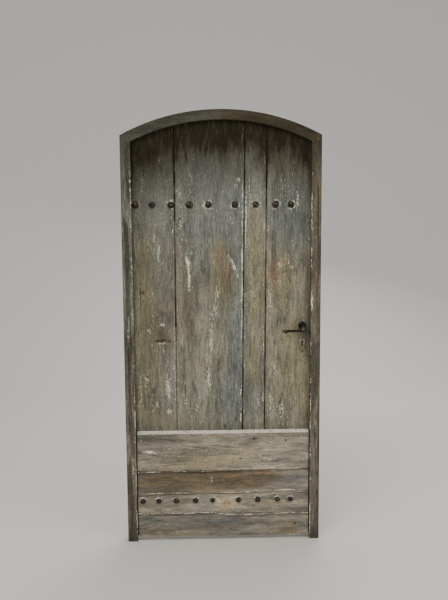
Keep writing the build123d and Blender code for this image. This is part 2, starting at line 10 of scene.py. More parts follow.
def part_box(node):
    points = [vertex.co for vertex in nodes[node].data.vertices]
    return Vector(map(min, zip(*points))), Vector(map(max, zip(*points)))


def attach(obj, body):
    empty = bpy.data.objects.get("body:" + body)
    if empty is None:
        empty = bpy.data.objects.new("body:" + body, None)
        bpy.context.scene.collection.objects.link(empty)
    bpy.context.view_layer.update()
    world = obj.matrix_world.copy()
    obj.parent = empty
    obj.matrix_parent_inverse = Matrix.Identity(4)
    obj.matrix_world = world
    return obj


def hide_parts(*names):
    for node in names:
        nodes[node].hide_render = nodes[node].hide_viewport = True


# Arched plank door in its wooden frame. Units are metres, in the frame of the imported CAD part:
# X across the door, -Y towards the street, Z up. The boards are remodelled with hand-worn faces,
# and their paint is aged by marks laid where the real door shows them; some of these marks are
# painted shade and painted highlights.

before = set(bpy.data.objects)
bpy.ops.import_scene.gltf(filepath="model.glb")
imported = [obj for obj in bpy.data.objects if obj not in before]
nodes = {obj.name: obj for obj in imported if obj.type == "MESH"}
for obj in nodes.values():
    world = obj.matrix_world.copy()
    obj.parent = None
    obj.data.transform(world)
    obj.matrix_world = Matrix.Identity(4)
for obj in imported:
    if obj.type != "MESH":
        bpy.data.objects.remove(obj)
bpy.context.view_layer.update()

MM = 0.001

# places and sizes that come from the frame
leaf_low, leaf_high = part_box("hinge_side_plank")[0].z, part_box("wide_plank")[1].z
half_leaf = -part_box("hinge_side_plank")[0].x
plank_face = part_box("narrow_plank")[0].y
apron_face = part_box("apron_top_board")[0].y
apron_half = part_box("apron_top_board")[1].x
apron_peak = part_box("apron_top_board")[1].z
half_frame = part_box("arched_head")[1].x
frame_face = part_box("arched_head")[0].y
frame_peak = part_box("arched_head")[1].z
handle_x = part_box("outer_rose")[0].lerp(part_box("outer_rose")[1], 0.5).x
handle_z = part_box("outer_rose")[0].lerp(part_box("outer_rose")[1], 0.5).z

# sizes shared with the part's source
jamb_width = 50 * MM
rebate_overlap = 12 * MM
stop_play = 1 * MM
arch_radius = 1.0
leaf_gap = 4 * MM
plank_gap = 3 * MM
leaf_radius = arch_radius + rebate_overlap - leaf_gap
arch_centre = frame_peak - jamb_width - arch_radius
half_clear = half_frame - jamb_width
spring_z = arch_centre + math.sqrt(arch_radius**2 - half_clear**2)
stop_back = plank_face - stop_play
joint_shares = ((0.239, 0.243), (0.604, 0.630), (0.730, 0.751))
top_joint, mid_joint, low_joint = 373 * MM, 258 * MM, 143 * MM
apron_lap = 0.75 * MM
bevel_height = 9 * MM
bevel_depth = 26 * MM
upper_row = 1.730
lower_row = 0.216
upper_nail_shares = (0.029, 0.119, 0.224, 0.324, 0.428, 0.573, 0.687, 0.798, 0.883)
lower_nail_shares = (0.042, 0.132, 0.232, 0.340, 0.438, 0.585, 0.696, 0.808, 0.882)
upper_head_sizes = (31, 28, 34, 36, 33, 33, 33, 35, 34)
lower_head_sizes = (28, 27, 28, 29, 26, 28, 29, 27, 27)
strap_back = 33 * MM
key_z = handle_z - 83 * MM
key_hole, key_slot_half, key_slot_drop = 5 * MM, 2.75 * MM, 25 * MM
elbow_drop = 16 * MM
bar_drop = 19.5 * MM
bar_droop = 3 * MM
foot_width = 24 * MM


def leaf_x(share):
    return (2 * share - 1) * half_leaf


def joint_x(joint, z):
    low, high = joint_shares[joint]
    along = (z - leaf_low) / (leaf_high - leaf_low)
    return leaf_x(low + (high - low) * along)


upper_nails_x = [leaf_x(share) for share in upper_nail_shares]
lower_nails_x = [leaf_x(share) for share in lower_nail_shares]


# ---- materials


def shade(hex_code):
    """An sRGB hex colour as the linear colour that a shader socket takes."""
    channels = [int(hex_code[i : i + 2], 16) / 255 for i in (1, 3, 5)]
    linear = [c / 12.92 if c <= 0.04045 else ((c + 0.055) / 1.055) ** 2.4 for c in channels]
    return (*linear, 1.0)


def add(tree, kind, settings=None, inputs=None):
    """Adds a node, sets it, and fills its inputs with values or with links to other nodes."""
    node = tree.nodes.new(kind)
    for name, value in (settings or {}).items():
        setattr(node, name, value)
    for key, value in (inputs or {}).items():
        if isinstance(value, bpy.types.NodeSocket):
            tree.links.new(value, node.inputs[key])
        else:
            node.inputs[key].default_value = value
    return node


def maths(tree, operation, *values):
    inputs = dict(enumerate(values))
    return add(tree, "ShaderNodeMath", {"operation": operation}, inputs).outputs[0]


def weigh(tree, value, share, base):
    """A share of a value on top of a base."""
    return maths(tree, "MULTIPLY_ADD", value, share, base)


def ranged(tree, value, low, high, first=0.0, last=1.0, curve="SMOOTHSTEP"):
    """A value from low to high turned into one from first to last, and held at both ends."""
    inputs = {0: value, 1: low, 2: high, 3: first, 4: last}
    return add(tree, "ShaderNodeMapRange", {"interpolation_type": curve}, inputs).outputs[0]


def blend(tree, share, under, over):
    """One colour laid over another by a share."""
    inputs = {0: share, 6: under, 7: over}
    return add(tree, "ShaderNodeMix", {"data_type": "RGBA"}, inputs).outputs[2]


def scaled(tree, colour, strength):
    inputs = {0: colour, "Scale": strength}
    return add(tree, "ShaderNodeVectorMath", {"operation": "SCALE"}, inputs).outputs[0]


def ramp(tree, value, *stops):
    """A colour that follows a value through stops of (place, linear colour)."""
    node = add(tree, "ShaderNodeValToRGB", inputs={0: value})
    while len(node.color_ramp.elements) < len(stops):
        node.color_ramp.elements.new(0.5)
    for element, (place, colour) in zip(node.color_ramp.elements, stops):
        element.position = place
        element.color = colour
    return node.outputs[0]


def clouds(tree, place, size, detail, roughness=0.5):
    """The outputs of noise whose largest features have one size."""
    inputs = {"Vector": place, "Scale": 1 / size, "Detail": detail, "Roughness": roughness}
    return add(tree, "ShaderNodeTexNoise", inputs=inputs).outputs


def relief(tree, height, strength, deep_mm):
    inputs = {"Height": height, "Strength": strength, "Distance": deep_mm * MM}
    return add(tree, "ShaderNodeBump", inputs=inputs).outputs[0]


def new_material(name):
    material = bpy.data.materials.new(name)
    material.use_nodes = True
    material.node_tree.nodes.clear()
    return material, material.node_tree


def surfaced(material, inputs):
    """Ends a material in one surface that takes these inputs."""
    tree = material.node_tree
    surface = add(tree, "ShaderNodeBsdfPrincipled", inputs=inputs)
    add(tree, "ShaderNodeOutputMaterial", inputs={"Surface": surface.outputs[0]})
    return material


def grain(tree, along, across_mm, along_mm, shift, detail=5.0, waver_mm=4.0):
    """Noise drawn out along the wood's grain, which wavers a few millimetres from straight."""
    place = add(tree, "ShaderNodeTexCoord").outputs["Object"]
    sway = clouds(tree, place, 110 * MM, 1.0)["Color"]
    aside = 2 * waver_mm * MM
    inputs = {0: sway, 1: {"x": (0, 0, aside), "z": (aside, 0, 0)}[along], 2: place}
    moved = add(tree, "ShaderNodeVectorMath", {"operation": "MULTIPLY_ADD"}, inputs)
    period = {"x": (along_mm, across_mm, across_mm), "z": (across_mm, across_mm, along_mm)}[along]
    inputs = {
        "Vector": moved.outputs[0],
        "Location": (shift, 1.7 * shift, 0.6 * shift),
        "Scale": tuple(1 / (p * MM) for p in period),
    }
    stretched = add(tree, "ShaderNodeMapping", inputs=inputs)
    return clouds(tree, stretched.outputs[0], 1.0, detail, 0.6)["Fac"]


def aged_paint(name, along, coats, wood, shift):
    """Oil paint brushed on oak boards and left to the sun: thin chalky coats of unlike greens and
    greys, mottled fine, cracked along the grain, flaked to pale wood, and stained brown by rain
    and iron.

    One attribute holds flakes worn to pale wood, brown stain, dirt and how far the paint has
    faded, and with these, in places, painted highlight and painted shade; the tint attribute
    holds grey-blue paint, ochre and rust. Noise breaks up their edges.
    """
    material, tree = new_material(name)
    wear_and_painted_light = add(tree, "ShaderNodeAttribute", {"attribute_name": "wear_and_painted_light"}).outputs
    tint = add(tree, "ShaderNodeAttribute", {"attribute_name": "tint"}).outputs
    worn_and_painted_light = add(tree, "ShaderNodeSeparateColor", inputs={0: wear_and_painted_light["Color"]}).outputs
    toned = add(tree, "ShaderNodeSeparateColor", inputs={0: tint["Color"]}).outputs
    patches = grain(tree, along, 46, 300, shift, detail=2.0, waver_mm=22.0)
    washes = grain(tree, along, 21, 130, shift + 14.2, detail=2.5, waver_mm=10.0)
    blotches = grain(tree, along, 12, 52, shift + 1.9, detail=4.0, waver_mm=8.0)
    # brush and weather streaks, about 7 mm apart
    streaks = grain(tree, along, 7, 130, shift + 3.1)
    # earlywood furrows are 1 to 2 mm apart: drawn at 2.6 mm so that they show at this distance
    furrows = grain(tree, along, 2.6, 26, shift + 5.7)
    # the paint's chalky mottle is about 1 mm fine: drawn at 3.4 mm for the same reason
    speckle = grain(tree, along, 3.4, 11, shift + 8.2)

    coat = ramp(tree, patches, *zip((0.38, 0.47, 0.54, 0.63), map(shade, coats)))
    # thin washes of cooler and warmer grey that lie over one another
    wash = ramp(
        tree,
        washes,
        (0.34, (0.97, 1.0, 0.97, 1)),
        (0.46, (0.98, 1.0, 0.96, 1)),
        (0.55, (1.0, 0.98, 0.96, 1)),
        (0.68, (1.01, 0.96, 0.94, 1)),
    )
    washed = add(tree, "ShaderNodeVectorMath", {"operation": "MULTIPLY"}, {0: coat, 1: wash})
    # how far each scale of unevenness lightens and darkens the paint
    reaches = (
        (patches, 0.16),
        (washes, 0.20),
        (streaks, 0.30),
        (blotches, 0.38),
        (furrows, 0.26),
        (speckle, 0.40),
    )
    tone = ranged(tree, wear_and_painted_light["Alpha"], 0.0, 1.0, 0.42, 1.50, "LINEAR")
    for unevenness, reach in reaches:
        level = ranged(tree, unevenness, 0.30, 0.70, 1 - reach, 1 + reach, "LINEAR")
        tone = maths(tree, "MULTIPLY", tone, level)
    colour = scaled(tree, washed.outputs[0], tone)

    # break-up shared by the soft marks, mostly within -0.3 to 0.3
    ragged = -1.3
    for unevenness, share in ((washes, 1.1), (blotches, 1.1), (streaks, 0.4)):
        ragged = weigh(tree, unevenness, share, ragged)
    stains = (
        (toned["Red"], wood["blue"], 0.80),
        (toned["Green"], wood["ochre"], 0.85),
        (worn_and_painted_light["Green"], wood["stain"], 0.85),
        (toned["Blue"], wood["rust"], 0.90),
    )
    for mask, hex_code, strongest in stains:
        cover = ranged(tree, maths(tree, "ADD", ragged, mask), 0.05, 0.95, 0.0, strongest)
        colour = blend(tree, cover, colour, scaled(tree, shade(hex_code)[:3], tone))

    # flakes: broken crisp islands, more of them where the mask is strong, and a few anywhere;
    # where the mask holds a painted highlight, as on the apron's bevel, they pale it too
    islands = maths(tree, "ADD", furrows, speckle)
    crisp = weigh(tree, speckle, 0.6, islands)
    loose = weigh(tree, worn_and_painted_light["Red"], 0.56, crisp)
    flakes_and_highlight = ranged(tree, loose, 1.66, 1.75, 0.0, 0.92)
    beneath = blend(tree, washes, shade(wood["chalk"]), shade(wood["bare"]))
    colour = blend(tree, flakes_and_highlight, colour, beneath)

    # drying cracks: hair lines a fraction of a millimetre wide, drawn at about 1 mm
    splits = grain(tree, along, 13, 420, shift + 11.3, detail=2.0, waver_mm=2.0)
    from_line = maths(tree, "ABSOLUTE", maths(tree, "SUBTRACT", splits, 0.5))
    hair = ranged(tree, from_line, 0.003, 0.013, 0.65, 0.0)
    cracks = maths(tree, "MULTIPLY", hair, ranged(tree, blotches, 0.50, 0.58))
    colour = blend(tree, cracks, colour, shade(wood["crack"]))
    grime_and_shade_mask = weigh(tree, ragged, 0.6, worn_and_painted_light["Blue"])
    grime_and_shade = ranged(tree, grime_and_shade_mask, 0.05, 1.0, 0.0, 0.95, "LINEAR")

    height = weigh(tree, streaks, 0.7, islands)
    height = weigh(tree, cracks, -1.4, height)
    height = weigh(tree, flakes_and_highlight, -0.25, height)
    inputs = {
        "Base Color": blend(tree, grime_and_shade, colour, shade(wood["grime_and_shade"])),
        "Roughness": ranged(tree, streaks, 0.3, 0.7, 0.66, 0.90, "LINEAR"),
        # dirt and painted shade are matt, so the painted shade on the crown stays black instead
        # of hazy
        "Specular IOR Level": ranged(tree, grime_and_shade, 0.0, 0.9, 0.35, 0.03, "LINEAR"),
        "Normal": relief(tree, height, 0.7, 0.8),
    }
    return surfaced(material, inputs)


def bare_oak(name, along, shift):
    """Sawn oak that was never painted, greyed and brown with age: open furrows, dark flecks and
    no gloss."""
    material, tree = new_material(name)
    rings = grain(tree, along, 11, 240, shift)
    pores = grain(tree, along, 2.2, 38, shift + 4.4)
    dust = grain(tree, along, 70, 300, shift + 7.9, detail=3.0)
    browns = map(shade, ("#3a3128", "#544a3d", "#665b4b", "#7d7261"))
    board = ramp(tree, rings, *zip((0.32, 0.47, 0.58, 0.70), browns))
    open_pores = ranged(tree, pores, 0.30, 0.5, 0.45, 1.05)
    dusty = ranged(tree, dust, 0.42, 0.80, 0.0, 0.22)
    inputs = {
        "Base Color": blend(tree, dusty, scaled(tree, board, open_pores), shade("#8d8373")),
        "Roughness": 0.86,
        "Specular IOR Level": 0.3,
        "Normal": relief(tree, open_pores, 0.6, 0.6),
    }
    return surfaced(material, inputs)


def hammered_iron(name, colours, rust_share, polish, blow_mm, bare_share=0.85, highlight_and_wear="#7d7a78"):
    """Wrought iron worked under the hammer: soft flats a few millimetres across, black scale that
    wears to grey on the highs, and rust in the hollows that stays matt. Where a piece has its
    attribute of highlight and wear, the colour turns to the paler one given: a painted highlight
    on the nails' crowns and the lever's elbow, and a painted glint at the lever's tip, with
    golden flecks and hand wear among them.

    The colours are the scale, its highs and the rust. bare_share is how metallic it looks where
    there is no rust, and polish is its lowest roughness."""
    scale, highs, rust = map(shade, colours)
    material, tree = new_material(name)
    place = add(tree, "ShaderNodeTexCoord").outputs["Object"]
    inputs = {"Vector": place, "Scale": 1 / (blow_mm * MM), "Smoothness": 0.8}
    blows = add(tree, "ShaderNodeTexVoronoi", {"feature": "SMOOTH_F1"}, inputs)
    pits = clouds(tree, place, 1.5 * MM, 4.0, 0.65)["Fac"]
    blooms = clouds(tree, place, 12 * MM, 5.0, 0.7)["Fac"]
    rusted = ranged(tree, blooms, 0.72 - 0.4 * rust_share, 0.86 - 0.4 * rust_share)
    colour = blend(tree, rusted, blend(tree, pits, scale, highs), rust)
    highlight_and_handling = add(tree, "ShaderNodeAttribute", {"attribute_name": "highlight_and_wear"}).outputs["Fac"]
    roughness = ranged(tree, pits, 0.3, 0.7, polish, polish + 0.25, "LINEAR")
    height = weigh(tree, pits, 0.25, blows.outputs["Distance"])
    inputs = {
        "Base Color": blend(tree, highlight_and_handling, colour, shade(highlight_and_wear)),
        "Metallic": ranged(tree, rusted, 0.0, 1.0, bare_share, 0.1, "LINEAR"),
        "Roughness": weigh(tree, rusted, 0.3, roughness),
        "Normal": relief(tree, height, 0.5, 0.5),
    }
    return surfaced(material, inputs)


def painted_plate(name):
    """Iron plate painted over with the door: thick dull paint with brush ridges, chipped to black
    iron and worn brown by keys below the keyhole."""
    material, tree = new_material(name)
    place = add(tree, "ShaderNodeTexCoord").outputs["Object"]
    thick = clouds(tree, place, 9 * MM, 5.0, 0.65)["Fac"]
    fine = clouds(tree, place, 2.5 * MM, 3.0)["Fac"]
    greens = map(shade, ("#5c5a4c", "#777463", "#98937f"))
    paint = ramp(tree, thick, *zip((0.35, 0.5, 0.66), greens))
    height = add(tree, "ShaderNodeSeparateXYZ", inputs={0: place}).outputs["Z"]
    scraped = ranged(tree, height, key_z + 4 * MM, key_z - 14 * MM, 0.0, 0.75)
    colour = blend(tree, scraped, paint, shade("#6a5b45"))
    chips = ranged(tree, fine, 0.60, 0.66, 0.0, 0.8)
    inputs = {
        "Base Color": blend(tree, chips, colour, shade("#3a2f26")),
        "Roughness": 0.7,
        "Specular IOR Level": 0.4,
        "Normal": relief(tree, fine, 0.4, 0.3),
    }
    return surfaced(material, inputs)


def drawn_steel(name):
    """Filed and drawn steel, greased: long fine scratches along X, grey-brown with handling."""
    material, tree = new_material(name)
    scratches = grain(tree, "x", 0.9, 40, 2.0, detail=2.0, waver_mm=0.0)
    film = grain(tree, "x", 12, 20, 6.0)
    inputs = {
        "Base Color": blend(tree, film, shade("#8f8a80"), shade("#5e564a")),
        "Metallic": 1.0,
        "Roughness": ranged(tree, scratches, 0.3, 0.7, 0.3, 0.5, "LINEAR"),
    }
    return surfaced(material, inputs)


# what lies over and under the paint of the upright and of the level boards
plank_wood = {
    "blue": "#6a6e6a",
    "ochre": "#7d775c",
    "stain": "#695f4a",
    "rust": "#775b44",
    "bare": "#e8ddbb",
    "chalk": "#cfcdbf",
    "crack": "#2b251d",
    "grime_and_shade": "#1e190d",
}
apron_wood = {
    "blue": "#696b67",
    "ochre": "#8e8264",
    "stain": "#635740",
    "rust": "#957359",
    "bare": "#e0d4ba",
    "chalk": "#eeebe2",
    "crack": "#2f281f",
    "grime_and_shade": "#2c2820",
}
# each paint's coats, from its darker patches to its paler ones
plank_coats = ("#6d6b5f", "#737164", "#7a7668", "#807b6c")
apron_coats = ("#7a7467", "#857e70", "#908878", "#9a917e")
jamb_coats = ("#524d42", "#5b5549", "#615b4f", "#6c6659")
head_coats = ("#484337", "#554f41", "#5f594a", "#6c6656")
plank_paint = aged_paint("weathered_oil_paint_on_planks", "z", plank_coats, plank_wood, 0.0)
apron_paint = aged_paint("weathered_oil_paint_on_apron", "x", apron_coats, apron_wood, 20.0)
jamb_paint = aged_paint("weathered_oil_paint_on_jambs", "z", jamb_coats, plank_wood, 40.0)
head_paint = aged_paint("weathered_oil_paint_on_head", "x", head_coats, plank_wood, 60.0)
back_oak = bare_oak("aged_oak_upright", "z", 0.0)
ledge_oak = bare_oak("aged_oak_across", "x", 9.0)
nail_iron = hammered_iron(
    "wrought_iron_rusted_nails",
    ("#080605", "#241d15", "#4a3826"),
    rust_share=0.38,
    polish=0.32,
    blow_mm=6,
    bare_share=0.45,
    highlight_and_wear="#86714f",
)
hinge_iron = hammered_iron(
    "wrought_iron_hinges",
    ("#15120f", "#2e2822", "#4a2f20"),
    rust_share=0.3,
    polish=0.45,
    blow_mm=9,
)
handle_iron = hammered_iron(
    "blackened_wrought_iron",
    ("#080706", "#2b2722", "#2a1d15"),
    rust_share=0.1,
    polish=0.28,
    blow_mm=11,
    bare_share=0.65,
)
lock_iron = hammered_iron(
    "blackened_sheet_iron",
    ("#191613", "#2f2a25", "#4a3325"),
    rust_share=0.2,
    polish=0.42,
    blow_mm=22,
)
plate_paint = painted_plate("painted_over_iron")
bolt_steel = drawn_steel("drawn_steel_greased")


# ---- marks of age, and painted shade and highlights


def laid(marks, x, z):
    """How strongly a list of soft-edged marks covers each point."""
    cover = np.zeros_like(x)
    for centre_x, centre_z, half_x, half_z, strength, *turn in marks:
        lean = math.radians(turn[0] if turn else 0)
        c, s = math.cos(lean), math.sin(lean)
        dx, dz = x / MM - centre_x, z / MM - centre_z
        reach = ((dx * c + dz * s) / half_x) ** 2 + ((dz * c - dx * s) / half_z) ** 2
        cover += strength / 100 * np.exp(-0.9 * reach)
    return cover


def between(value, low, high):
    """A smooth step: 0 up to low, 1 from high on."""
    share = np.clip((value - low) / (high - low), 0, 1)
    return share * share * (3 - 2 * share)


def near(value, centre, reach):
    """A soft band: 1 at the centre, fading within about its reach."""
    return np.exp(-(((value - centre) / reach) ** 2))


def uneven(x, z, size, seed):
    """Slow, repeatable unevenness between 0 and 1."""
    values = [noise.noise(Vector((a / size, b / size, seed))) for a, b in zip(x, z)]
    return np.array(values) * 0.5 + 0.5


def above_lock(z):
    """0 below the handle and 1 above it: below, paint has nearly closed the first joint."""
    return between(z, key_z + 60 * MM, key_z + 100 * MM)


def age(mesh, marks, lay_more):
    """Writes the wear-and-painted-light and tint attributes from marks, after lay_more has added
    to each kind.
    """
    count = len(mesh.vertices)
    place = np.empty(count * 3)
    mesh.vertices.foreach_get("co", place)
    x, y, z = place.reshape(-1, 3).T
    kinds = {
        "wear_and_painted_light": ("bleached_and_lit", "stained", "dirt_and_shade", "faded_and_lit"),
        "tint": ("blue", "ochre", "rusty"),
    }
    cover = {kind: laid(marks.get(kind, ()), x, z) for names in kinds.values() for kind in names}
    cover["faded_and_lit"] += 0.5
    lay_more(x, y, z, **cover)
    for attribute_name, names in kinds.items():
        attribute = mesh.attributes.new(attribute_name, "FLOAT_COLOR", "POINT")
        values = np.ones((count, 4))
        values[:, : len(names)] = np.clip(np.stack([cover[kind] for kind in names], 1), 0, 1)
        attribute.data.foreach_set("color", values.ravel())


# The marks were set one by one. Each is (x, z, half width, half height, strength), with
# lengths in millimetres, the strength in percent and, where the mark leans, its turn in degrees
# after that. Faded marks are where the paint is darker (below 0) or more faded (above 0) than
# its neighbours.
plank_marks = {
    "bleached_and_lit": [
        (-316, 1486, 7, 45, 75), (-333, 1560, 5, 30, 55), (-372, 1100, 20, 16, 70, 20),
        (-305, 1034, 34, 6, 75), (-300, 1000, 6, 30, 55), (-279, 800, 14, 85, 75, 4),
        (-275, 680, 16, 14, 75), (-385, 830, 12, 70, 50), (-420, 780, 12, 110, 45),
        (-340, 720, 30, 60, 40), (-400, 1840, 20, 40, 30), (-172, 1448, 9, 30, 92, 14),
        (-168, 1395, 7, 45, 62, 4), (-165, 1350, 6, 60, 75), (-155, 1860, 12, 100, 45),
        (-202, 1660, 12, 40, 42), (-205, 1560, 12, 80, 30), (54, 1440, 8, 28, 72, 26),
        (64, 1412, 11, 16, 80, 10), (78, 1375, 7, 20, 75, 20), (-46, 1460, 4, 70, 50),
        (121, 1680, 4, 90, 85), (103, 1420, 4, 110, 85), (-212, 1800, 10, 90, 30),
        (30, 1470, 5, 30, 50), (-57, 1070, 12, 100, 70), (-35, 1200, 14, 60, 60),
        (-20, 1310, 12, 50, 55), (-70, 850, 14, 75, 60), (-190, 800, 12, 110, 45),
        (-130, 700, 12, 70, 40), (83, 1860, 10, 22, 85, 15), (75, 1820, 8, 20, 55),
        (45, 1640, 6, 45, 45), (140, 1800, 6, 80, 55), (155, 1430, 8, 90, 40),
        (165, 1250, 8, 70, 45), (180, 720, 10, 80, 45), (240, 1260, 9, 50, 75),
        (245, 720, 16, 80, 60), (300, 700, 30, 70, 40), (300, 1800, 14, 60, 40),
        (381, 1755, 8, 45, 65), (345, 1430, 18, 34, 65, 20), (285, 1425, 20, 26, 50, -15),
        (300, 1350, 30, 30, 35), (355, 1520, 5, 45, 45, 4), (250, 1535, 22, 8, 50, -12),
        (-300, 1128, 18, 12, 75, -25), (-350, 1150, 6, 35, 50), (-362, 1040, 12, 30, 35),
        (268, 900, 7, 50, 55, 5), (330, 1180, 14, 90, 30), (-247, 907, 6, 6, 90),
        (-217, 907, 6, 6, 90),
    ],
    "stained": [
        (-28, 1420, 26, 150, 55), (30, 1370, 34, 130, 80), (20, 1500, 50, 40, 50),
        (-180, 1220, 34, 150, 62), (350, 1420, 28, 60, 75, 20), (270, 1420, 22, 60, 55),
        (225, 1330, 10, 100, 75), (145, 835, 14, 60, 60, 6), (-308, 1048, 50, 10, 75),
        (-320, 1110, 60, 70, 50), (-18, 910, 16, 30, 85), (-25, 617, 12, 16, 90),
        (-230, 2070, 30, 45, 90), (-380, 1300, 40, 220, 38), (290, 1950, 80, 70, 35),
        (-300, 660, 60, 60, 35), (-410, 950, 30, 150, 35),
    ],
    "dirt_and_shade": [
        (-235, 1129, 7, 9, 100), (-397, 1295, 10, 10, 70), (-410, 1270, 2.5, 90, 90, 1),
        (292, 720, 3, 45, 90, -18), (-322, 1047, 11, 3.5, 85, -18), (-304, 1050.5, 10, 3, 95, 16),
        (-286, 1049.5, 12, 2.6, 75, -8), (-336, 1043, 10, 3, 85, 14), (-268, 1046, 9, 3, 80, 12),
        (-300, 1185, 16, 12, 45), (-270, 1160, 16, 30, 35), (317, 1395, 30, 3, 70, 14),
        (335, 1365, 4, 30, 60, 20), (375, 1400, 8, 12, 50), (428, 1555, 3, 4, 90),
        (-18, 930, 6, 20, 60, 10), (-22, 895, 7, 12, 50), (-235, 905, 3, 4, 80),
        (-270, 1000, 3, 50, 30), (10, 600, 4, 8, 80, 20),
        # painted shadows under the rose, the lever's bar and the keyhole
        (handle_x / MM - 3, handle_z / MM - 18, 30, 36, 55),
        (handle_x / MM - 62, handle_z / MM - 30, 50, 8, 28, -2),
        (handle_x / MM, key_z / MM - 16, 23, 44, 42),
    ],
    "blue": [
        (-305, 1105, 55, 85, 70), (66, 960, 36, 360, 75), (40, 735, 70, 150, 95, 4),
        (90, 1150, 26, 260, 80), (160, 1130, 30, 70, 60), (165, 740, 30, 100, 65),
        (350, 1640, 110, 130, 95), (330, 1780, 100, 80, 45), (-330, 1800, 90, 130, 55),
        (-300, 1560, 60, 140, 50), (0, 1690, 110, 170, 95), (70, 1580, 50, 150, 70),
        (-130, 1560, 60, 180, 60), (-110, 1880, 110, 120, 70), (140, 1900, 50, 120, 50),
        (-120, 800, 30, 160, 30), (-262, 840, 30, 140, 60), (-290, 1290, 30, 140, 15),
        (380, 1250, 50, 100, 40),
    ],
    "ochre": [
        (-412, 1480, 32, 110, 45), (-400, 1250, 55, 330, 65), (-350, 900, 70, 300, 45),
        (-340, 1090, 60, 100, 30), (-25, 1420, 24, 150, 85, 2), (20, 1330, 50, 110, 65, 10),
        (410, 900, 60, 300, 75), (320, 950, 90, 280, 30), (165, 1420, 36, 300, 75),
        (165, 1300, 36, 500, 25), (150, 960, 26, 140, 60), (-185, 1330, 30, 200, 50),
        (300, 1370, 70, 120, 90), (340, 1020, 80, 200, 60), (-150, 1000, 60, 200, 42),
        (260, 780, 40, 160, 35), (-400, 700, 50, 100, 55),
    ],
    "rusty": [
        (-2, 1455, 14, 80, 50), (22, 1380, 12, 60, 35), (258, 1410, 14, 75, 45),
        (310, 1440, 30, 18, 35), (-217, 1477, 10, 14, 90), (-397, 1296, 13, 8, 70),
        (216, 1340, 4, 60, 60), (350, 1435, 20, 20, 55, 20), (262, 1360, 30, 90, 46),
        (-46, 1440, 10, 100, 42), (30, 1320, 34, 80, 12, 12), (-185, 1230, 26, 130, 30),
        (-310, 1090, 60, 100, 12), (-15, 920, 20, 30, 30),
        # runs below the upper nails
        (upper_nails_x[2] / MM, upper_row / MM - 12, 16, 16, 60),
        *[(x / MM, upper_row / MM - 34, 7, 30, 30) for x in upper_nails_x],
    ],
    "faded_and_lit": [
        (-203, 1690, 18, 190, 16), (-350, 1950, 120, 120, -14), (-340, 1250, 100, 550, -9),
        (-400, 1350, 60, 450, -16), (-310, 1090, 60, 90, -22), (-340, 1600, 100, 120, -6),
        (-410, 750, 50, 150, -14), (-10, 1700, 70, 110, -10), (-130, 1350, 60, 300, 6),
        (-100, 850, 110, 220, 10), (60, 1420, 60, 140, 6), (50, 700, 60, 110, -8),
        (160, 1250, 50, 500, 6), (150, 1950, 45, 180, 20), (-120, 1330, 110, 220, -10),
        (165, 750, 45, 120, -3), (320, 820, 80, 280, 8), (430, 1200, 30, 300, -16),
        (360, 1650, 90, 150, -20), (320, 1370, 80, 120, 5), (390, 1800, 50, 250, -6),
        (-40, 1850, 120, 140, -6),
    ],
}


def plank_age(x, y, z, bleached_and_lit, dirt_and_shade, faded_and_lit, blue, **others):
    slow = uneven(x, z, 0.10, 3.0)
    quick = uneven(x, z / 4, 0.022, 9.0)
    line, beside = 4 * MM, 8.5 * MM
    # dirty joints, bare along the arris to the left of them, most at the second one
    for joint, strength in enumerate((0.55, 0.80, 0.50)):
        past = x - joint_x(joint, z)
        bleached_and_lit += strength * near(past, -beside, line) * between(quick, 0.40, 0.62)
        bleached_and_lit += 0.5 * strength * near(past, beside, line) * between(1 - quick, 0.48, 0.66)
        grimy = 0.20 + 0.75 * between(uneven(x * 0, z, 0.07, joint + 6.5), 0.35, 0.60)
        if joint == 0:
            grimy *= 0.25 + 0.75 * above_lock(z)
        dirt_and_shade += near(past, 0, line) * grimy
        # the tongue and the sides within the joint are black with dirt
        within = between(y, plank_face + 3 * MM, plank_face + 6 * MM)
        dirt_and_shade += 1.2 * (np.abs(past) < 12 * MM) * within
    # rain and soot and a painted shade, as from a surround overhead, darken the crown, most at
    # its upper corners; rain and soot darken the strip above the apron; the paint darkens towards
    # the leaf's sides
    dirt_and_shade += 1.14 * between(z + 0.06 * slow + 0.45 * x**2 - 0.05 * x, 1.70, 2.20)
    dirt_and_shade += 0.25 * between(-z, -0.66, -0.58)
    dirt_and_shade += 0.28 * between(np.abs(x), half_leaf - 35 * MM, half_leaf)
    # chipped paint round the nails, most at the fifth and at those named
    bleached_and_lit += 0.50 * near(x, upper_nails_x[4] - 12 * MM, 26 * MM) * near(z, upper_row, 22 * MM)
    for number, nail_x in enumerate(upper_nails_x):
        away = np.hypot(x - nail_x, z - upper_row)
        chips = 0.75 if number in (0, 2, 5, 7, 8) else 0.45
        bleached_and_lit += chips * near(away, 20 * MM, 6 * MM) * between(quick, 0.36, 0.56)
        dirt_and_shade += 0.6 * near(away, 15 * MM, 4 * MM)
    bleached_and_lit += 0.14 * between(slow, 0.46, 0.64)
    faded_and_lit += 0.30 * (slow - 0.5)
    # the shaded upper half keeps most of its blue
    blue += 0.28 * between(z, 1.50, 1.75)


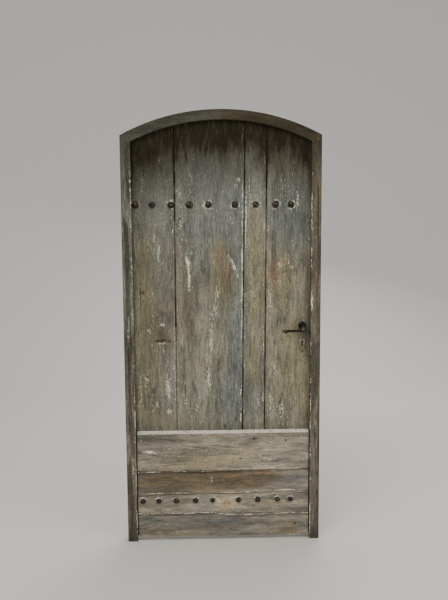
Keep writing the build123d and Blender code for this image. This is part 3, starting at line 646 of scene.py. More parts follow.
apron_marks = {
    "bleached_and_lit": [
        (-420, 536, 6, 4, 90), (-394, 536, 4, 6, 90), (-355, 470, 60, 10, 55, -12),
        (-385, 478, 30, 7, 75), (-280, 492, 20, 3, 80), (-290, 505, 30, 3.5, 70, -35),
        (-200, 452, 120, 3, 50), (30, 520, 120, 3, 40, 3), (200, 445, 50, 14, 50, -25),
        (260, 425, 50, 8, 50, -10), (-60, 330, 6, 20, 60, 10), (-70, 300, 30, 3, 50, 60),
        (330, 264, 50, 5, 80, 2), (160, 264, 60, 10, 55, 15), (-20, 222, 30, 8, 50),
        (90, 145, 45, 6, 60, -12), (-238, 41, 8, 6, 90), (60, 60, 60, 4, 40),
        (250, 80, 80, 4, 40),
    ],
    "stained": [
        (-250, 315, 190, 55, 85), (60, 330, 130, 45, 85), (10, 300, 60, 30, 60),
        (230, 340, 80, 20, 65), (332, 50, 70, 22, 75), (-390, 200, 60, 30, 35),
        (-100, 70, 160, 20, 30), (-330, 62, 70, 12, 40), (10, 190, 22, 30, 45, 20),
    ],
    "dirt_and_shade": [
        (-360, 545, 120, 25, 42), (160, 540, 20, 10, 50), (0, 364, 330, 6, 42),
        (0, 249, 380, 4, 30), (0, 30, 430, 8, 35), (10, 205, 4, 22, 50, -30),
        (30, 195, 3, 26, 50, 10),
    ],
    "blue": [
        (-330, 520, 120, 45, 50), (350, 470, 90, 80, 40), (360, 320, 80, 50, 80),
        (-90, 200, 50, 40, 80), (-150, 100, 130, 35, 85), (20, 75, 100, 40, 60),
        (-350, 100, 90, 30, 40), (280, 110, 120, 30, 15),
    ],
    "ochre": [
        (10, 200, 46, 50, 95, 8), (-60, 430, 180, 40, 55), (120, 470, 120, 50, 50),
        (-300, 400, 120, 20, 40), (330, 45, 80, 20, 55), (-250, 310, 200, 40, 55),
        (230, 190, 120, 30, 40),
    ],
    "rusty": [
        (-330, 22, 45, 3, 100), (12, 205, 24, 45, 42, 10), (60, 340, 120, 40, 22),
        (230, 356, 100, 12, 34),
    ],
    "faded_and_lit": [
        (-330, 490, 160, 90, -18), (150, 470, 200, 80, 26), (390, 480, 50, 100, -8),
        (10, 205, 150, 50, 38), (12, 200, 45, 45, 25, 8), (-330, 200, 120, 50, -14),
        (300, 80, 120, 60, -12), (250, 205, 150, 40, 6), (420, 205, 40, 45, -10),
        (-250, 80, 200, 60, -5), (150, 75, 200, 60, 3),
    ],
}
# worn lips that wander beside the apron's joints: their heights at steps across the leaf, how
# thick they are, all in millimetres, and how bare
lip_steps = (-440, -330, -220, -110, 0, 110, 220, 330, 440)
lips = (
    ((368, 370, 373, 371, 374, 378, 380, 377, 385), 3.0, 0.8),
    ((250, 257, 256, 260, 256, 258, 262, 264, 252), 3.2, 0.8),
    ((146, 145, 146, 151, 139, 132, 138, 141, 140), 3.4, 0.95),
)


def apron_age(x, y, z, bleached_and_lit, stained, dirt_and_shade, faded_and_lit, blue, **others):
    slow = uneven(x, z * 2, 0.09, 5.0)
    quick = uneven(x / 4, z, 0.016, 7.0)
    wobble = (uneven(x, z * 0, 0.03, 2.0) - 0.5) * 12 * MM
    for heights, thick, strength in lips:
        lip = np.interp(x / MM, lip_steps, heights) * MM + wobble
        bleached_and_lit += strength * near(z, lip, thick * MM) * between(quick, 0.30, 0.52)
        # painted shade a few millimetres below each lip, as under a board's edge, with dirt along
        # the joint
        dirt_and_shade += 0.55 * near(z, lip - 7 * MM, 4 * MM)
    # the bevel along the top is paler: scoured, and also a painted highlight where it faces up to
    # the light; the foot's lower arris is worn bare
    bevel_foot = apron_peak - bevel_height
    bevel_highlight_and_scour = between(z, bevel_foot - MM, bevel_foot + MM)
    bleached_and_lit += 1.6 * bevel_highlight_and_scour
    faded_and_lit += (0.35 + 0.6 * between(slow, 0.3, 0.7)) * bevel_highlight_and_scour
    bleached_and_lit += 0.7 * between(-z, -leaf_low - 4 * MM, -leaf_low) * between(quick, 0.35, 0.55)
    # the second board keeps the darkest paint, the foot board the bluest
    second = between(z, mid_joint - 2 * MM, mid_joint + 8 * MM)
    second *= between(-z, -top_joint - 6 * MM, -top_joint + 4 * MM)
    foot = between(-z, -low_joint - 3 * MM, -low_joint + 5 * MM)
    stained += 0.30 * second * between(-x, -0.34, -0.20)
    faded_and_lit -= 0.10 * second
    blue += 0.35 * foot * between(slow, 0.35, 0.6)
    faded_and_lit -= 0.07 * foot
    # bare above each nail; below it a painted shadow of the head, with some dirt
    for nail_x in lower_nails_x:
        away = np.hypot(x - nail_x, z - lower_row)
        above = between(z - lower_row, -6 * MM, 12 * MM)
        chips = near(away, 17.5 * MM, 4.5 * MM) * above
        bleached_and_lit += 0.85 * chips * between(quick, 0.25, 0.5)
        dirt_and_shade += 0.5 * near(away, 16 * MM, 5 * MM) * (1 - above)
    dirt_and_shade += 0.25 * between(np.abs(x), apron_half - 20 * MM, apron_half)


frame_marks = {
    "bleached_and_lit": [
        (452, 1235, 6, 35, 90), (-470, 1000, 10, 200, 40), (-462, 400, 10, 150, 40),
    ],
}


def frame_age(x, y, z, bleached_and_lit, stained, dirt_and_shade, faded_and_lit, blue, **others):
    quick = uneven(x * 2 + y * 2, z / 5, 0.02, 4.0)
    # the arris beside the leaf is bare up to the arch and the foot is dirty; the upper jambs and
    # the head are darkened by dirt and by a painted shade, as from a surround overhead
    edge = near(np.abs(x) - half_clear, 2 * MM, 4 * MM) * (y < frame_face + 6 * MM)
    bleached_and_lit += 0.75 * edge * between(quick, 0.38, 0.60) * between(-z, -spring_z, 0.2 - spring_z)
    dirt_and_shade += 0.45 * between(-z, -0.10, -0.01)
    dirt_and_shade += 0.65 * between(z, spring_z - 0.35, spring_z + 0.05)
    # rain runs brown down the lock side, and the hinge side stays grey
    stained += 0.50 * (x > 0) * between(z, 1.0, 1.25)
    blue += 0.55 * (x < 0) * between(z, 0.9, 1.2)
    faded_and_lit += 0.06 * (x < 0) - 0.08 * (x > 0) * between(z, 1.1, 1.4) - 0.08


# ---- meshes


def put_in_scene(name, data):
    thing = bpy.data.objects.new(name, data)
    bpy.context.scene.collection.objects.link(thing)
    return thing


def mesh_object(bm, name, *materials):
    """Turns the bmesh into a smooth object."""
    mesh = bpy.data.meshes.new(name)
    bm.to_mesh(mesh)
    bm.free()
    for face in mesh.polygons:
        face.use_smooth = True
    for material in materials:
        mesh.materials.append(material)
    return put_in_scene(name, mesh)


def finish_piece(bm, name, body, slot, *materials):
    """Makes the bmesh a piece of the door that moves with a body and takes the given materials;
    slot is not used.
    """
    piece = mesh_object(bm, name, *materials)
    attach(piece, body)
    return piece


def stations(length, step):
    """Distances along a board's width or length, close together at both worn edges."""
    edges = (0.8 * MM, 2.2 * MM, 4.5 * MM)
    inner = max(2, round((length - 2 * edges[-1]) / step))
    middle = [edges[-1] + (length - 2 * edges[-1]) * i / inner for i in range(inner + 1)]
    return [0, *edges[:-1], *middle, *[length - e for e in reversed(edges[:-1])], length]


def sheet_of_cells(across, along, put):
    """A grid of cells whose corner (i, j) is moved to put(across[i], along[j])."""
    bm = bmesh.new()
    bmesh.ops.create_grid(bm, x_segments=len(across) - 1, y_segments=len(along) - 1, size=0.5)
    for vert in bm.verts:
        i = round((vert.co.x + 0.5) * (len(across) - 1))
        j = round((vert.co.y + 0.5) * (len(along) - 1))
        vert.co = put(across[i], along[j])
    return bm


def crisp_corners(bm):
    """Turns the faces outwards and keeps the shading from running round sharp corners."""
    bmesh.ops.recalc_face_normals(bm, faces=bm.faces)
    for edge in bm.edges:
        if edge.is_manifold and edge.calc_face_angle(0) > math.radians(50):
            edge.smooth = False


def thicken(bm, back_y):
    """Gives a painted front sheet straight painted sides and a flat bare back at back_y."""
    rim = [e for e in bm.edges if e.is_boundary]
    walls = bmesh.ops.extrude_edge_only(bm, edges=rim)["geom"]
    for vert in [g for g in walls if isinstance(g, bmesh.types.BMVert)]:
        vert.co.y = back_y
    rim = [e for e in bm.edges if e.is_boundary]
    back = bmesh.ops.triangle_fill(bm, edges=rim, use_beauty=True)["geom"]
    for face in [g for g in back if isinstance(g, bmesh.types.BMFace)]:
        face.material_index = 1
    crisp_corners(bm)


def worn(distance, radius):
    """How far a rounded arris falls back at a distance from the edge."""
    if distance >= radius:
        return 0.0
    return radius - math.sqrt(radius**2 - (radius - distance) ** 2)


def hollow(u, v, seed, deep):
    """One scale of the hollows that weather has cut into the wood."""
    return deep * (0.5 + 0.5 * noise.noise(Vector((u, v, seed))))


def arch_z(x, radius):
    return arch_centre + math.sqrt(radius**2 - x**2)


def half_gap(joint, z):
    """Half a joint's width: open where boards have shrunk, nearly closed where paint fills it."""
    upper_part = 0.5 + 0.5 * between(-z, -1.62, -1.45)
    shrunk = (max(0.45, above_lock(z) * upper_part), 0.70, 0.55)[joint]
    slow = 0.5 + 0.5 * noise.noise(Vector((7.3 * joint, 0.4, z / 0.16)))
    return plank_gap * (0.13 + 0.42 * shrunk * (0.55 + 0.9 * slow))


def plank(name, left_joint, right_joint, seed):
    """An upright board from one joint to the next; None stands for the leaf's own side."""

    def side_x(joint, side, z):
        if joint is None:
            return side * half_leaf
        return joint_x(joint, z) - side * half_gap(joint, z)

    def left(z):
        return side_x(left_joint, -1, z)

    def right(z):
        return side_x(right_joint, 1, z)

    wide = right(1.0) - left(1.0)
    tall = leaf_high - leaf_low
    side_arris, top_arris = 2.4 * MM, 2.5 * MM

    def place(across, along):
        z = leaf_low + along
        # x and z depend on each other, and settle in three rounds
        for _ in range(3):
            x = left(z) + (right(z) - left(z)) * across / wide
            z = leaf_low + (arch_z(x, leaf_radius) - leaf_low) * along / tall
        ragged = 1 + 0.45 * noise.noise(Vector((seed, z / 0.05, x * 3)))
        side = min(across, wide - across)
        back_off = worn(side, side_arris * ragged) + worn(tall - along, top_arris)
        furrows = hollow(x / 0.016, z / 0.32, seed, 0.55 * MM)
        furrows += hollow(x / 0.070, z / 0.60, seed + 4, 0.33 * MM)
        return Vector((x, plank_face + furrows + back_off, z))

    bm = sheet_of_cells(stations(wide, 4.2 * MM), stations(tall, 8 * MM), place)
    if name == "lock_side_plank":
        # the key's way through the plank, hidden by the escutcheon's rim
        middles = [(face, face.calc_center_median()) for face in bm.faces]
        in_way = [
            face
            for face, middle in middles
            if abs(middle.x - handle_x) < key_hole + 2 * MM
            and -key_slot_drop - 3 * MM < middle.z - key_z < key_hole + 3 * MM
        ]
        bmesh.ops.delete(bm, geom=in_way, context="FACES")
    thicken(bm, 0.0)
    if right_joint is not None:
        # the tongue that shows as a dark line in the joint
        reach, thick, foot_room, head_room = 10 * MM, 8 * MM, 2 * MM, 6 * MM
        crown = min(arch_z(right(leaf_high), leaf_radius), leaf_high)
        for vert in bmesh.ops.create_cube(bm, size=1.0)["verts"]:
            z = leaf_low + foot_room if vert.co.z < 0 else crown - head_room
            x = right(z) + (reach if vert.co.x > 0 else -MM)
            vert.co = (x, plank_face / 2 + thick * vert.co.y, z)
    piece = finish_piece(bm, "worn_" + name, "leaf", "painted_plank", plank_paint, back_oak)
    age(piece.data, plank_marks, plank_age)
    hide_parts(name)


plank("hinge_side_plank", None, 0, 1.3)
plank("wide_plank", 0, 1, 4.9)
plank("narrow_plank", 1, 2, 8.1)
plank("lock_side_plank", 2, None, 12.7)


def apron_board(name, low, high, seed, bevelled=False):
    """A board across the foot: its section is walked from the bottom arris up to the top one."""
    wide = 2 * apron_half
    slope = math.hypot(bevel_height, bevel_depth)
    tall = high - low + (slope - bevel_height if bevelled else 0)
    heights = stations(tall, 4.2 * MM)
    if bevelled:
        lip = tall - slope
        clear_of_lip = [h for h in heights if abs(h - lip) > 2 * MM]
        heights = sorted([*clear_of_lip, lip - MM, lip, lip + MM])
    side_arris, long_arris = 2.5 * MM, 2.6 * MM

    def place(across, along):
        x = across - apron_half
        y, z = apron_face, low + along
        if bevelled and along > lip:
            share = (along - lip) / slope
            y = apron_face + bevel_depth * share
            z = low + lip + bevel_height * share
        ragged = 1 + 0.5 * noise.noise(Vector((x / 0.05, seed, z * 3)))
        # a bevelled board has no upper arris
        upper = along if bevelled else tall - along
        back_off = worn(min(across, wide - across), side_arris)
        back_off += worn(min(along, upper), long_arris * ragged)
        dent = hollow(x / 0.34, z / 0.014, seed, 0.35 * MM)
        dent += hollow(x / 0.45, z / 0.055, seed + 6, 0.5 * MM)
        if bevelled:
            # the bevel's lip is worn a little lower, and the bevel itself is smoother
            z -= 0.4 * MM * worn(abs(along - lip), 2 * MM) / (2 * MM)
            dent *= 1.0 if along < lip else 0.3
        return Vector((x, y + dent + back_off, z))

    bm = sheet_of_cells(stations(wide, 8 * MM), heights, place)
    thicken(bm, plank_face)
    piece = finish_piece(bm, "worn_" + name, "leaf", "apron_wood", apron_paint, ledge_oak)
    age(piece.data, apron_marks, apron_age)
    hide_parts(name)


apron_board("apron_top_board", top_joint + apron_lap, apron_peak, 3.3, True)
apron_board("apron_second_board", mid_joint + apron_lap, top_joint - apron_lap, 6.1)
apron_board("apron_third_board", low_joint + apron_lap, mid_joint - apron_lap, 9.7)
apron_board("apron_bottom_board", leaf_low, low_joint - apron_lap, 13.9)


def member_section():
    """The points round a jamb's or the head's section: share of the way from inner to outer,
    depth, distance to the nearest arris and the way that the walk runs there."""
    rebate = rebate_overlap / jamb_width
    corners = (
        (0, frame_face),
        (1, frame_face),
        (1, 0),
        (rebate, 0),
        (rebate, stop_back),
        (0, stop_back),
    )
    spacing, near_arris = 5 * MM, (0.9 * MM, 2.4 * MM)
    walk = []
    for (s0, y0), (s1, y1) in zip(corners, (*corners[1:], corners[0])):
        run = math.hypot((s1 - s0) * jamb_width, y1 - y0)
        steps = max(2, round(run / spacing))
        shares = {i / steps for i in range(steps)}
        shares |= {share for d in near_arris for share in (d / run, 1 - d / run)}
        for t in sorted(share for share in shares if 0 <= share < 1):
            side = min(t, 1 - t) * run
            walk.append((s0 + (s1 - s0) * t, y0 + (y1 - y0) * t, side, (s1 - s0, y1 - y0)))
    walk.append(walk[0])
    return walk


def frame_member(name, path, count, paint, seed):
    """A jamb or the head: its section is carried along a path in a number of steps.

    path(t) gives the inner and the outer point at t from 0 to 1, and the section runs between."""
    walk = member_section()
    arris = 1.8 * MM

    def place(i, t):
        share, y, side, run = walk[i]
        inner, outer = path(t)
        point = inner.lerp(outer, share)
        sink = 0.7 * worn(side, arris)
        sink += hollow(share * 3, y / 0.02, t * 9 + seed, 0.5 * MM)
        # into the wood: from each face of the L section towards its middle
        if abs(run[0]) > 1e-6:
            return Vector((point.x, y + (sink if run[0] > 0 else -sink), point.z))
        towards = (outer - inner).normalized()
        shifted = point + towards * (sink if run[1] < 0 else -sink)
        return Vector((shifted.x, y, shifted.z))

    bm = sheet_of_cells(range(len(walk)), [j / count for j in range(count + 1)], place)
    bmesh.ops.remove_doubles(bm, verts=bm.verts, dist=1e-6)
    rims = [e for e in bm.edges if e.is_boundary]
    bmesh.ops.triangle_fill(bm, edges=rims, use_beauty=True)
    crisp_corners(bm)
    piece = finish_piece(bm, "worn_" + name, "frame", "frame_wood", paint)
    age(piece.data, frame_marks, frame_age)
    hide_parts(name)


def jamb_path(side):
    def path(t):
        z = spring_z * t
        return Vector((side * half_clear, 0, z)), Vector((side * half_frame, 0, z))

    return path


def on_arch(radius, turn):
    return Vector((radius * math.sin(turn), 0, arch_centre + radius * math.cos(turn)))


def head_path(t):
    """The head's inner and outer arcs; at each end the outer side rises straight to its arc."""
    inner = on_arch(arch_radius, math.asin(half_clear / arch_radius) * (2 * t - 1))
    radius = arch_radius + jamb_width
    straight = 0.03
    if t < straight or t > 1 - straight:
        share = min(t, 1 - t) / straight
        x = -half_frame if t < 0.5 else half_frame
        shoulder = arch_z(half_frame, radius)
        return inner, Vector((x, 0, spring_z + (shoulder - spring_z) * share))
    spread = (t - straight) / (1 - 2 * straight)
    return inner, on_arch(radius, math.asin(half_frame / radius) * (2 * spread - 1))


frame_member("left_jamb", jamb_path(-1), 230, jamb_paint, 2.0)
frame_member("right_jamb", jamb_path(1), 230, jamb_paint, 5.0)
frame_member("arched_head", head_path, 130, head_paint, 8.0)


# ---- nails: hammered heads, and points bent down over the strap behind


def beaten_flats(chance):
    """Slanting flats that meet near a nail head's crown: direction, distance from its middle."""
    first = chance.uniform(0, math.pi)
    flats = []
    for k in range(5):
        turn = first + 2 * math.pi * k / 5 + chance.uniform(-0.25, 0.25)
        tilt = chance.uniform(0.55, 0.85)
        across = math.sin(tilt)
        flat = Vector((across * math.cos(turn), -math.cos(tilt), across * math.sin(turn)))
        flats.append((flat, chance.uniform(0.78, 0.88)))
    return flats


def nail_row(name, xs, sizes, row_z, face_y, seed):
    """A row of nails driven at xs, with head sizes in millimetres, through boards and strap."""
    height = face_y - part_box(name)[0].y
    shank = 6.4 * MM
    point_wide, point_thick, point_long, point_start = 6.2 * MM, 4.4 * MM, 27 * MM, 3 * MM
    chance = random.Random(seed)
    bm = bmesh.new()
    highlight_and_wear = bm.verts.layers.float.new("highlight_and_wear")
    for number, (x, size) in enumerate(zip(xs, sizes)):
        radius = size * MM / 2
        flats = beaten_flats(chance)
        narrowed = min(1.0, 1 + 0.05 * noise.noise(Vector((number * 1.7, 0.3, seed))))
        for vert in bmesh.ops.create_icosphere(bm, subdivisions=4, radius=1.0)["verts"]:
            for flat, limit in flats:
                vert.co -= flat * max(0.0, vert.co.dot(flat) - limit)
            swell = 0.95 + 0.05 * noise.noise(vert.co * 1.9 + Vector((number * 3.1, seed, 0)))
            dome = max(-0.12, -vert.co.y)
            speck = noise.noise(vert.co * 2.6 + Vector((number * 5.3, 0, seed)))
            # painted highlight: more of the pale colour towards each head's crown, broken by
            # noise into golden-brown flecks
            vert[highlight_and_wear] = 0.55 * float(between(speck + 0.25 * dome, 0.34, 0.70))
            vert.co = (
                x + radius * vert.co.x * narrowed * swell,
                face_y - height * dome * swell,
                row_z + radius * vert.co.z * swell,
            )
        for vert in bmesh.ops.create_cube(bm, size=1.0)["verts"]:
            y = face_y - MM if vert.co.y < 0 else strap_back + 2 * MM
            vert.co = (x + shank * vert.co.x, y, row_z + shank * vert.co.z)
        corners = bmesh.ops.create_cube(bm, size=1.0)["verts"]
        edges = {e for v in corners for e in v.link_edges}
        upright = [e for e in edges if abs(e.verts[0].co.z - e.verts[1].co.z) > 0.5]
        bmesh.ops.subdivide_edges(bm, edges=upright, cuts=5)
        # only the new cube's verts: the nails in their places are nearer the origin or far above
        for vert in [v for v in bm.verts if max(map(abs, v.co)) <= 0.5001 and v.co.length > 0.6]:
            down = 0.5 - vert.co.z
            thick = point_thick * (1 - 0.55 * down**1.5)
            wide = point_wide * (1 - 0.35 * down)
            astray = 1.2 * MM * noise.noise(Vector((number, down, seed))) * down
            vert.co = (
                x + wide * vert.co.x + astray,
                strap_back + thick * (vert.co.y + 0.5),
                row_z + point_start - point_long * down,
            )
    bmesh.ops.recalc_face_normals(bm, faces=bm.faces)
    piece = finish_piece(bm, "hammered_" + name, "leaf", "forged_iron", nail_iron)
    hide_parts(name)


nail_row("upper_nails", upper_nails_x, upper_head_sizes, upper_row, plank_face, 1.0)
nail_row("lower_nails", lower_nails_x, lower_head_sizes, lower_row, apron_face, 5.0)


# ---- lever handles, roses and the escutcheon


def turned(profile, centre, axis, turns=48):
    """A closed form spun from (distance along the axis, radius) points, its ends on the axis."""
    bm = bmesh.new()
    across = Vector((0, 0, 1))
    verts = [bm.verts.new(centre + axis * along + across * radius) for along, radius in profile]
    edges = [bm.edges.new(pair) for pair in zip(verts, verts[1:])]
    bmesh.ops.spin(
        bm,
        geom=verts + edges,
        cent=centre,
        axis=axis,
        angle=2 * math.pi,
        steps=turns,
        use_merge=True,
    )
    bmesh.ops.remove_doubles(bm, verts=bm.verts, dist=1e-6)
    bmesh.ops.recalc_face_normals(bm, faces=bm.faces)
    return bm


def join(bm, other):
    """Adds another bmesh's shape to bm."""
    spare = bpy.data.meshes.new("spare")
    other.to_mesh(spare)
    other.free()
    bm.from_mesh(spare)
    bpy.data.meshes.remove(spare)


def settle(piece, *modifiers):
    """Applies modifiers, given as (kind, settings), so that the mesh itself is final."""
    for kind, settings in modifiers:
        modifier = piece.modifiers.new(kind.lower(), kind)
        for key, value in settings.items():
            setattr(modifier, key, value)
    graph = bpy.context.evaluated_depsgraph_get()
    final = bpy.data.meshes.new_from_object(piece.evaluated_get(graph))
    piece.modifiers.clear()
    rough = piece.data
    final.name = rough.name
    piece.data = final
    bpy.data.meshes.remove(rough)
    for face in final.polygons:
        face.use_smooth = True


def eased(*points):
    """A profile's points joined by a smooth curve instead of straight runs."""
    steps = 6

    def curve(a, b, c, d, t):
        line = 2 * b + (c - a) * t
        return 0.5 * (line + (2 * a - 5 * b + 4 * c - d) * t * t + (3 * b - a - 3 * c + d) * t**3)

    smooth = []
    padded = [points[0], *points, points[-1]]
    for corners in zip(padded, padded[1:], padded[2:], padded[3:]):
        for step in range(steps):
            smooth.append([curve(*values, step / steps) for values in zip(*corners)])
    return [(along, max(0.0, radius)) for along, radius in (*smooth, points[-1])]


def lever(name, outwards):
    """A forged lever: a neck that swells and hangs to a rounded elbow, and a drooping bar with a
    collar and a button at its end."""
    low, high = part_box(name)
    reach, rest = (low.y, high.y) if outwards < 0 else (high.y, low.y)
    length = handle_x - low.x
    knuckle = high.x - handle_x
    hub_y = reach - outwards * knuckle
    neck, lobe, bar_root = 8 * MM, 10.4 * MM, 5.6 * MM
    out = Vector((0, outwards, 0))
    deep = abs(hub_y - rest)
    profile = [
        (-deep, 0.0),
        (-deep, neck),
        *eased((-deep + 8 * MM, neck), (-1.1 * knuckle, 0.94 * neck), (-0.7 * knuckle, lobe)),
        *eased(
            (-0.3 * knuckle, lobe),
            (0.2 * knuckle, 0.94 * lobe),
            (0.62 * knuckle, 0.62 * lobe),
            (0.78 * knuckle, 0.0),
        ),
    ]
    body = turned(profile, Vector((handle_x, hub_y, handle_z)), out)
    # the elbow below it, and the web of metal that joins the two: each ball's share of the drop,
    # and its radius, depth and width as shares of the knuckle
    balls = ((0.35, 0.84, 0.90, 1.05), (0.68, 0.92, 0.97, 1.16), (1.0, 0.96, 0.985, 1.22))
    for share, radius, shallow, wide in balls:
        ball = bmesh.new()
        bmesh.ops.create_icosphere(ball, subdivisions=4, radius=1.0)
        for vert in ball.verts:
            vert.co = (
                handle_x + radius * knuckle * (wide * vert.co.x + 1 - wide),
                hub_y + shallow * knuckle * vert.co.y,
                handle_z - elbow_drop * share + radius * knuckle * vert.co.z,
            )
        join(body, ball)
    # the bar, and its collar and button: (distance back from the tip, radius) in millimetres
    collar = ((34, 6.4), (21, 7.1), (18.4, 8.4), (16.6, 10.6), (13.6, 11.3), (11.0, 10.0))
    button = ((9.4, 7.0), (7.4, 6.2), (4, 6.8), (1.4, 4.8), (0.4, 0.0))
    profile = [
        (0.0, 0.0),
        (0.0, bar_root),
        *eased(
            (12 * MM, bar_root),
            (30 * MM, bar_root),
            *[(length - back * MM, radius * MM) for back, radius in collar + button],
        ),
    ]
    start = Vector((handle_x, hub_y, handle_z - bar_drop))
    along = Vector((-length, 0, -bar_droop)).normalized()
    join(body, turned(profile, start, along, 32))
    piece = finish_piece(body, "forged_" + name, "handle", "handle_iron", handle_iron)
    settle(
        piece,
        ("REMESH", {"mode": "VOXEL", "voxel_size": 0.8 * MM}),
        ("SMOOTH", {"factor": 0.5, "iterations": 6}),
    )
    # a painted highlight on the elbow's front and a painted glint on the ring at the tip, where
    # hands also rub the metal: (spot, size, strength)
    elbow = Vector((handle_x - 3 * MM, reach, handle_z - 0.75 * elbow_drop))
    ring = start + along * (length - 13 * MM) + out * 9 * MM + Vector((0, 0, 6 * MM))
    highlights_and_rubbing = ((elbow, 8 * MM, 0.45), (ring, 5 * MM, 0.65))
    highlight_and_wear = piece.data.attributes.new("highlight_and_wear", "FLOAT", "POINT")
    for vert, value in zip(piece.data.vertices, highlight_and_wear.data):
        wear_and_painted_light = [share * near((vert.co - spot).length, 0, size) for spot, size, share in highlights_and_rubbing]
        value.value = sum(wear_and_painted_light)
    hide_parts(name)


lever("outer_lever", -1)
lever("inner_lever", 1)


def rose(name, outwards):
    """A turned disc behind a lever, stepped down to a collar round the lever's neck."""
    low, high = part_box(name)
    seat = high.y if outwards < 0 else low.y
    thick = high.y - low.y
    rim = (high.x - low.x) / 2
    bore = 8.1 * MM
    # shares of its thickness and of its rim's radius
    steps = ((0.30, 1.0), (0.46, 0.97), (0.60, 0.86), (0.66, 0.74), (0.86, 0.66), (0.98, 0.55))
    profile = [
        (0.0, bore),
        (0.0, rim),
        *eased(*[(t * thick, r * rim) for t, r in steps], (thick, bore + 1.2 * MM)),
        (0.9 * thick, bore),
        (0.0, bore),
    ]
    bm = turned(profile, Vector((handle_x, seat, handle_z)), Vector((0, outwards, 0)), 64)
    piece = finish_piece(bm, "turned_" + name, "leaf", "handle_iron", handle_iron)
    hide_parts(name)


rose("outer_rose", -1)
rose("inner_rose", 1)


def keyhole_edge(turn):
    """Distance from the round hole's middle to the keyhole's edge; turn is 0 straight down."""
    aside = max(abs(math.sin(turn)), 1e-9)
    if math.cos(turn) <= 0 or key_slot_half / aside < key_hole:
        return key_hole
    return max(key_hole, min(key_slot_half / aside, key_slot_drop / math.cos(turn)))


def plate_edge(turn, low, high):
    """Distance from the key's axis to the plate's edge: an egg, its wide crown over its foot."""
    crown = (high.x - low.x) / 2
    foot = foot_width / 2
    crown_z = high.z - crown - key_z
    foot_z = low.z + foot - key_z
    best, discs = 0.0, 24
    # the plate is what discs cover that shrink on their way from crown to foot
    for share in (i / discs for i in range(discs + 1)):
        z = crown_z + (foot_z - crown_z) * share
        radius = crown + (foot - crown) * share
        # the ray (sin, -cos) from the key's axis, against a disc at (0, z)
        towards = -z * math.cos(turn)
        inside = radius**2 - z**2 + towards**2
        if inside > 0:
            best = max(best, towards + math.sqrt(inside))
    return best


def escutcheon():
    """The keyhole's plate, as rings bridged from its back edge over the front into the hole."""
    low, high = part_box("escutcheon")
    thick = high.y - low.y
    rings = (
        ("plate", 1.0, high.y),
        ("plate", 1.0, high.y - 0.45 * thick),
        ("plate", 0.985, high.y - 0.72 * thick),
        ("plate", 0.945, high.y - 0.93 * thick),
        ("plate", 0.86, low.y),
        ("plate", 0.62, low.y + 0.1 * thick),
        ("keyhole", 1.16, low.y + 0.12 * thick),
        ("keyhole", 1.03, low.y + 0.2 * thick),
        ("keyhole", 1.0, low.y + 0.5 * thick),
        ("keyhole", 1.0, high.y),
    )
    bm = bmesh.new()
    loops = []
    for kind, scale, y in rings:
        ring = bmesh.ops.create_circle(bm, segments=120, radius=1.0)["verts"]
        for vert in ring:
            turn = math.atan2(vert.co.x, -vert.co.y)
            away = keyhole_edge(turn) * scale
            if kind == "plate":
                away = max(plate_edge(turn, low, high) * scale, keyhole_edge(turn) * 1.2)
            vert.co = (handle_x + math.sin(turn) * away, y, key_z - math.cos(turn) * away)
        loops.append(list({e for v in ring for e in v.link_edges}))
    for outer, inner in zip(loops, (*loops[1:], loops[0])):
        bmesh.ops.bridge_loops(bm, edges=outer + inner)
    bmesh.ops.recalc_face_normals(bm, faces=bm.faces)
    piece = finish_piece(bm, "beaten_escutcheon", "leaf", "painted_iron", plate_paint)
    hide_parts("escutcheon")


escutcheon()

# ---- CAD pieces whose shape stays, in their real finishes
finishes = (
    (back_oak, ("head_pegs",)),
    (ledge_oak, ("upper_ledge", "lower_ledge")),
    (nail_iron, ("apron_pins", "apron_back_nails", "pintle_nails")),
    (nail_iron, ("lock_case_nails", "keeper_nails", "escutcheon_pins")),
    (hinge_iron, ("upper_strap", "lower_strap", "upper_pintle", "lower_pintle")),
    (lock_iron, ("lock_case", "lock_keeper")),
    (bolt_steel, ("lever_pins", "spindle", "follower", "latch_bolt", "deadbolt", "latch_spring")),
)
for finish, names in finishes:
    for node_name in names:
        nodes[node_name].data.materials.clear()
        nodes[node_name].data.materials.append(finish)

# ---- floor, light and camera


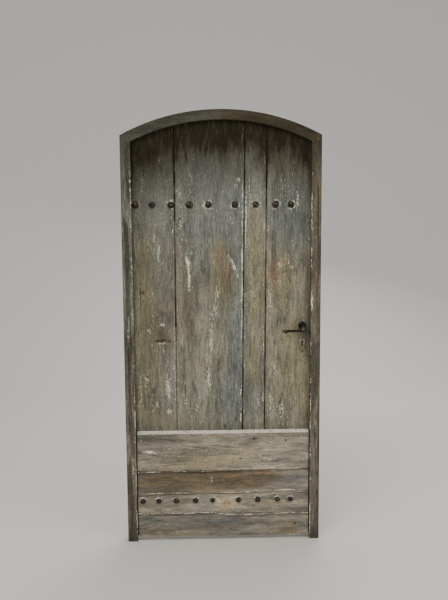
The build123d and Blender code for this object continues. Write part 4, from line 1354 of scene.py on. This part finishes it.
def studio():
    """Pale paper that curves up behind the door, soft air light and three soft lamps."""
    material = surfaced(
        new_material("matt_pale_studio_paper")[0],
        {"Base Color": shade("#d9d6d0"), "Roughness": 0.9},
    )
    half_width, curve_start, curve = 9, 3.0, 0.35
    bm = bmesh.new()
    bmesh.ops.create_grid(bm, x_segments=1, y_segments=60, size=half_width)
    for vert in bm.verts:
        vert.co.z = curve * max(0.0, vert.co.y - curve_start) ** 2
    floor = mesh_object(bm, "studio_floor", material)
    world = bpy.data.worlds.new("studio_air")
    world.use_nodes = True
    air = world.node_tree.nodes["Background"]
    air.inputs["Color"].default_value = shade("#e4e6e8")
    air.inputs["Strength"].default_value = 0.75
    bpy.context.scene.world = world
    # name, place, aim, size, power and colour
    lamps = (
        ("soft_sky", (-1.6, -3.6, 4.4), (0, 0, 1.1), 3.2, 150.0, "#fff7ec"),
        ("soft_side", (3.0, -2.6, 2.2), (0, 0, 1.0), 2.0, 40.0, "#f2f5ff"),
        ("soft_back", (1.2, 3.4, 3.4), (0, 0, 1.2), 3.0, 90.0, "#ffffff"),
    )
    for name, place, aim, size, power, colour in lamps:
        lamp = bpy.data.lights.new(name, "AREA")
        lamp.shape = "SQUARE"
        lamp.size = size
        lamp.energy = power
        lamp.color = shade(colour)[:3]
        holder = put_in_scene(name, lamp)
        holder.location = place
        holder.rotation_euler = (Vector(aim) - Vector(place)).to_track_quat("-Z", "Y").to_euler()


studio()


def photo_camera():
    """The camera where the photographer stood, found from the door's own corners."""
    eye = Vector((-0.0879, -3.538, 1.6535))
    yaw, pitch, roll = (math.radians(a) for a in (1.593, 6.503, -0.364))
    out, down = math.cos(pitch), -math.sin(pitch)
    ahead = Vector((math.sin(yaw) * out, math.cos(yaw) * out, down))
    level = Vector((math.cos(yaw), -math.sin(yaw), 0))
    up = level.cross(ahead)
    right = level * math.cos(roll) + up * math.sin(roll)
    top = up * math.cos(roll) - level * math.sin(roll)
    lens = bpy.data.cameras.new("photo_camera")
    lens.lens = 42
    lens.sensor_width = 36
    camera = put_in_scene("photo_camera", lens)
    turn = Matrix((right, top, -ahead)).transposed().to_4x4()
    camera.matrix_world = Matrix.Translation(eye) @ turn
    bpy.context.scene.camera = camera


photo_camera()
